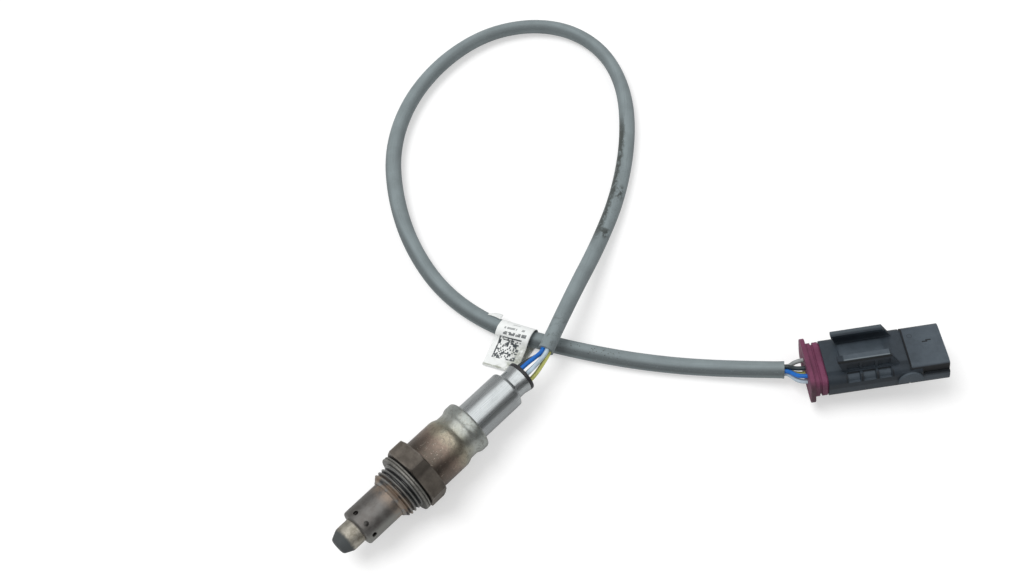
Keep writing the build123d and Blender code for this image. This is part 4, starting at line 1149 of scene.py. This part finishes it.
class SENSOR_OT_sleeves(Operator):
    """Make the tinted front sleeve, the bright rear sleeve with its crimped neck and the tubes"""

    bl_idname = "oxygen_sensor.sleeves"
    bl_label = "Sleeves"

    def execute(self, context):
        s = context.scene.sensor_body
        outer = [(9.0, 9.7), (21.2, 9.7), (23.2, 8.85), (26.2, 8.85), (27.6, 9.6), (31.0, 9.6)]
        inner = [(31.0, 7.05), (30.45, 7.05), (30.45, 9.05), (27.48, 9.05), (25.98, 8.25)]
        inner += [(23.42, 8.25), (21.22, 9.15), (9.0, 9.15)]
        radii = [0.1, 5.0, 2.6, 2.6, 3.4, 1.1, 0.15, 0.1, 0.1, 1.5, 1.5, 1.5, 1.5, 0.1]
        profile = refined(rounded(outer + inner, radii, 7), 0.8)
        turned_piece("front_sleeve", profile, sleeve_finish(), "tinted_steel")

        outer = [(29.95, 8.25), (30.45, 8.25), (30.45, 7.0), (49.3, 7.0), (50.25, 5.25), (52.8, 5.2)]
        inner = [(55.4, 5.7), (55.4, 5.2), (52.8, 4.65), (50.6, 4.65), (49.2, 6.5), (29.95, 6.5)]
        radii = [0.1, 0.1, 0.1, 0.8, 0.45, 2.0, 0.12, 0.12, 0.6, 0.6, 0.8, 0.1]
        profile = refined(rounded(outer + inner, radii, 7), 0.9)

        def crimp(x, r, angle):
            """Eight shallow flats pressed into the neck."""
            press = np.exp(-((x - 51.7) / 1.1) ** 2)
            return r * (1 - 0.008 * press * np.abs(np.cos(4 * angle)))

        turned_piece("rear_sleeve", profile, bright_finish(s), "bright_steel", ripple=crimp)

        # Inner tube with a blunt, rounded nose and its gas hole.
        outer = [(-30.4, 0.75), (-30.4, 3.0), (-27.0, 4.65), (-3.6, 4.65), (-3.6, 6.25), (-3.2, 6.25)]
        inner = [(-3.2, 4.25), (-27.2, 4.25), (-30.0, 2.7), (-30.0, 0.75)]
        radii = [0.1, 1.3, 2.6, 0.1, 0.05, 0.05, 0.1, 2.0, 1.0, 0.1]
        profile = refined(rounded(outer + inner, radii, 7), 1.0)
        sooty = shield_finish(s)
        turned_piece("inner_shield", profile, sooty, "shield_steel", columns=120)
        dress(["outer_shield"], sooty)
        return {"FINISHED"}


class SENSOR_OT_internals(Operator):
    """Finish the ceramic stack, contacts, grommet and terminals"""

    bl_idname = "oxygen_sensor.internals"
    bl_label = "Inner pieces"

    def execute(self, context):
        ceramic = plain_finish("ceramic_white", (0.8, 0.78, 0.72), 0.55, 0.0, 1.0, 0.02, 0.06)
        powder = plain_finish("powder_pressed", (0.66, 0.64, 0.58), 0.85, 0.0, 0.6, 0.06, 0.1)
        contact = plain_finish("contact_metal", (0.62, 0.5, 0.3), 0.3, 1.0, 0.6, 0.01, 0.12)
        steel = plain_finish("ring_steel", (0.5, 0.5, 0.5), 0.35, 1.0, 0.8, 0.01, 0.1)
        rubber = plain_finish("grommet_rubber", (0.018, 0.018, 0.02), 0.48, 0.0, 0.8, 0.03, 0.25)
        seal = plain_finish("seal_silicone", (0.4, 0.13, 0.05), 0.55, 0.0, 0.8, 0.02, 0.12)
        lock = plug_finish("lock_plastic", context.scene.sensor_plug.housing)
        dress(["sensing_element", "front_ceramic", "rear_ceramic"], ceramic)
        dress(["carrier_upper", "carrier_lower"], ceramic)
        dress(["powder_seal"], powder)
        dress([f"{kind}_{name}" for kind in ("contact", "pin") for name in WIRES], contact)
        dress(["press_ring", "clamp_ring"], steel)
        dress(["grommet"], rubber)
        dress(["wire_seal", "blank_plug"], seal)
        dress(["pin_lock"], lock)
        return {"FINISHED"}


def plug_panels(f, place, x, y, z, shade):
    """The housing's moulded panels, in the plug's own frame and over a first colour.

    The pad between the rails and the plate before the mouth are greyer with painted light, patchy with
    dust. Painted shade darkens the mouth, the rail's root, the ribs between the pockets and a line under
    the near rail's lip. Dark lines part the panels, and a few small moulded signs stand on the plate.
    """
    dust = f.noise(place, 3.0, 5.0, 0.65)
    edge = 34.9 + (y + 10.0) * 0.02
    # Painted light on the upward faces: the plate, the pad, lighter away from the far rail, and the
    # flats.
    plate = (x - edge).rise(0.0, 0.25) * z.rise(3.9, 4.5) * (0.6 + x.rise(36.0, 45.0) * 0.34)
    pad = x.band(12.0, 28.0, 1.6) * y.absolute().rise(5.6, 4.6) * z.rise(5.0, 5.3) * z.rise(6.2, 5.7)
    pad = pad * (0.55 + y.rise(3.5, -2.5) * 0.4)
    flat = z.rise(3.9, 4.5) * z.rise(6.2, 5.7) * y.rise(-6.4, -5.4) * 0.3
    # Pockets of the shoulder: floors paler with painted light, between ribs and under the rail's root,
    # which painted shade darkens.
    step = (x - 13.1) / 5.4
    step = step - step.whole()
    shoulder = x.band(12.5, 29.0, 0.2) * y.rise(-7.3, -7.6) * z.rise(2.0, 2.4)
    floor = shoulder * step.band(0.04, 0.77, 0.03) * z.rise(4.4, 3.9) * 0.45
    rib = (step - 0.907).absolute().rise(0.075, 0.04)
    root = x.band(12.3, 30.1, 0.3) * y.band(-7.7, -6.7, 0.1) * z.band(3.7, 4.75, 0.15)
    # Lit edges: the near rail's lip, the round bump on the near side and that side's lower part.
    lip = z.rise(10.5, 10.8) * y.rise(-3.6, -4.4) * x.band(12.2, 28.5, 0.4)
    bump = y.rise(-10.24, -10.4) * 0.7
    low = y.rise(-9.4, -10.1) * z.rise(0.5, -0.5) * (0.3 + x.rise(36.0, 40.0) * 0.3)
    light = plate.most(pad, lip * 0.9, bump, low, flat, floor) * (0.5 + dust * 0.9)
    shade = f.mix(light.clamped(), shade, (0.074, 0.093, 0.112))
    # Painted highlight on the lip's outer edge, and painted light on the far rail's top.
    shade = f.mix(lip * y.rise(-6.45, -6.65) * 0.8, shade, (0.17, 0.2, 0.22))
    far = z.rise(10.4, 10.7) * y.rise(4.8, 6.2) * 0.6
    shade = f.mix(far, shade, (0.1, 0.122, 0.138))
    # Signs: two bars that form a step, and a faint ring.
    bar_one = x.band(41.2, 43.1, 0.08) * y.band(0.95, 1.55, 0.06)
    bar_two = x.band(42.5, 44.4, 0.08) * y.band(1.45, 2.05, 0.06)
    ring = (((x - 37.6) ** 2.0 + (y - 4.6) ** 2.0) ** 0.5 - 0.8).absolute().rise(0.2, 0.08)
    # Dark parting and groove lines; painted shade in the mouth, under the near rail's lip, on the pocket
    # ribs and at the rail's root; and the signs on the plate.
    groove = (x - edge).absolute().rise(0.42, 0.18) * z.rise(3.4, 4.2)
    groove = groove.most(
        x.rise(34.8, 35.1) * y.rise(-5.0, -6.0) * z.band(3.6, 4.05, 0.12),
        x.rise(38.5, 39.0) * y.rise(-7.2, -8.2) * z.band(0.75, 3.9, 0.12),
        y.rise(-6.6, -6.8) * y.rise(-7.4, -7.1) * z.band(9.3, 10.55, 0.1) * 0.9,
        shoulder * rib * z.rise(4.6, 4.3) * 0.8,
        root * 0.75,
        bar_one.most(bar_two, ring * 0.4) * plate.rise(0.2, 0.5),
    )
    return f.mix(groove * 0.9, shade, (0.003, 0.004, 0.005))


def plug_finish(name, color, panels=False, grime=False):
    """Moulded plastic with fine spark-eroded grain, a dusty bloom and scuffs."""
    f = Finish(name)
    place = f.place(PLUG_PLACE, PLUG_TURN)
    x, y, z = f.axes(place)
    cloud = f.noise(place, 6.0, 4.0, 0.6)
    grain = f.noise(place, 0.22, 3.0, 0.7)
    scuff = f.noise(f.stretched(place, (0.3, 1.4, 1.4)), 1.2, 4.0, 0.7).rise(0.6, 0.78)
    shade = f.shades(cloud.rise(0.3, 0.75), color, 0.85, 1.35)
    if grime:
        dirty = y.rise(-9.4, -11.6) * x.rise(3.6, 2.6) * 0.75
        shade = f.mix(dirty * (0.6 + cloud * 0.6), shade, (0.035, 0.026, 0.028))
    if panels:
        shade = plug_panels(f, place, x, y, z, shade)
    shade = f.mix(scuff * 0.18, shade, tone(color, 4.0))
    rough = 0.5 + cloud * 0.12 + scuff * 0.1
    return f.close(shade, rough, 0.0, grain * 0.7 + scuff * 0.3, 0.03, Specular_IOR_Level=0.36)


class SENSOR_OT_plug(Operator):
    """Make the plug's housing and its plum cover with soft moulded edges"""

    bl_idname = "oxygen_sensor.plug"
    bl_label = "Plug"

    def execute(self, context):
        s = context.scene.sensor_plug
        housing = plug_finish("housing_plastic", s.housing, panels=True)
        cover = plug_finish("cover_plastic", s.cover, grime=True)
        soften("connector_housing", housing, s.soft_edge)
        soften("connector_cover", cover, s.soft_edge)
        return {"FINISHED"}


STEPS = [
    SENSOR_OT_stage,
    SENSOR_OT_sheath,
    SENSOR_OT_wires,
    SENSOR_OT_tag,
    SENSOR_OT_shell,
    SENSOR_OT_gasket,
    SENSOR_OT_sleeves,
    SENSOR_OT_internals,
    SENSOR_OT_plug,
    SENSOR_OT_declare_lead,
]


class SENSOR_PT_dressing(Panel):
    """Buttons that dress the sensor, in their order"""

    bl_label = "Oxygen Sensor"
    bl_idname = "SENSOR_PT_dressing"
    bl_space_type = "VIEW_3D"
    bl_region_type = "UI"
    bl_category = "Oxygen Sensor"

    def draw(self, context):
        for step in STEPS:
            self.layout.operator(step.bl_idname)
        for name, group in SETTINGS.items():
            box = self.layout.box()
            box.label(text=group.__doc__)
            for key in group.__annotations__:
                box.prop(getattr(context.scene, name), key)


def register():
    for name, group in SETTINGS.items():
        bpy.utils.register_class(group)
        setattr(bpy.types.Scene, name, PointerProperty(type=group))
    for step in STEPS:
        bpy.utils.register_class(step)
    bpy.utils.register_class(SENSOR_PT_dressing)


def unregister():
    bpy.utils.unregister_class(SENSOR_PT_dressing)
    for step in reversed(STEPS):
        bpy.utils.unregister_class(step)
    for name, group in reversed(SETTINGS.items()):
        delattr(bpy.types.Scene, name)
        bpy.utils.unregister_class(group)


def main():
    """Registers everything and runs every step."""
    register()
    for step in STEPS:
        group, action = step.bl_idname.split(".")
        getattr(getattr(bpy.ops, group), action)()


if __name__ == "__main__":
    main()
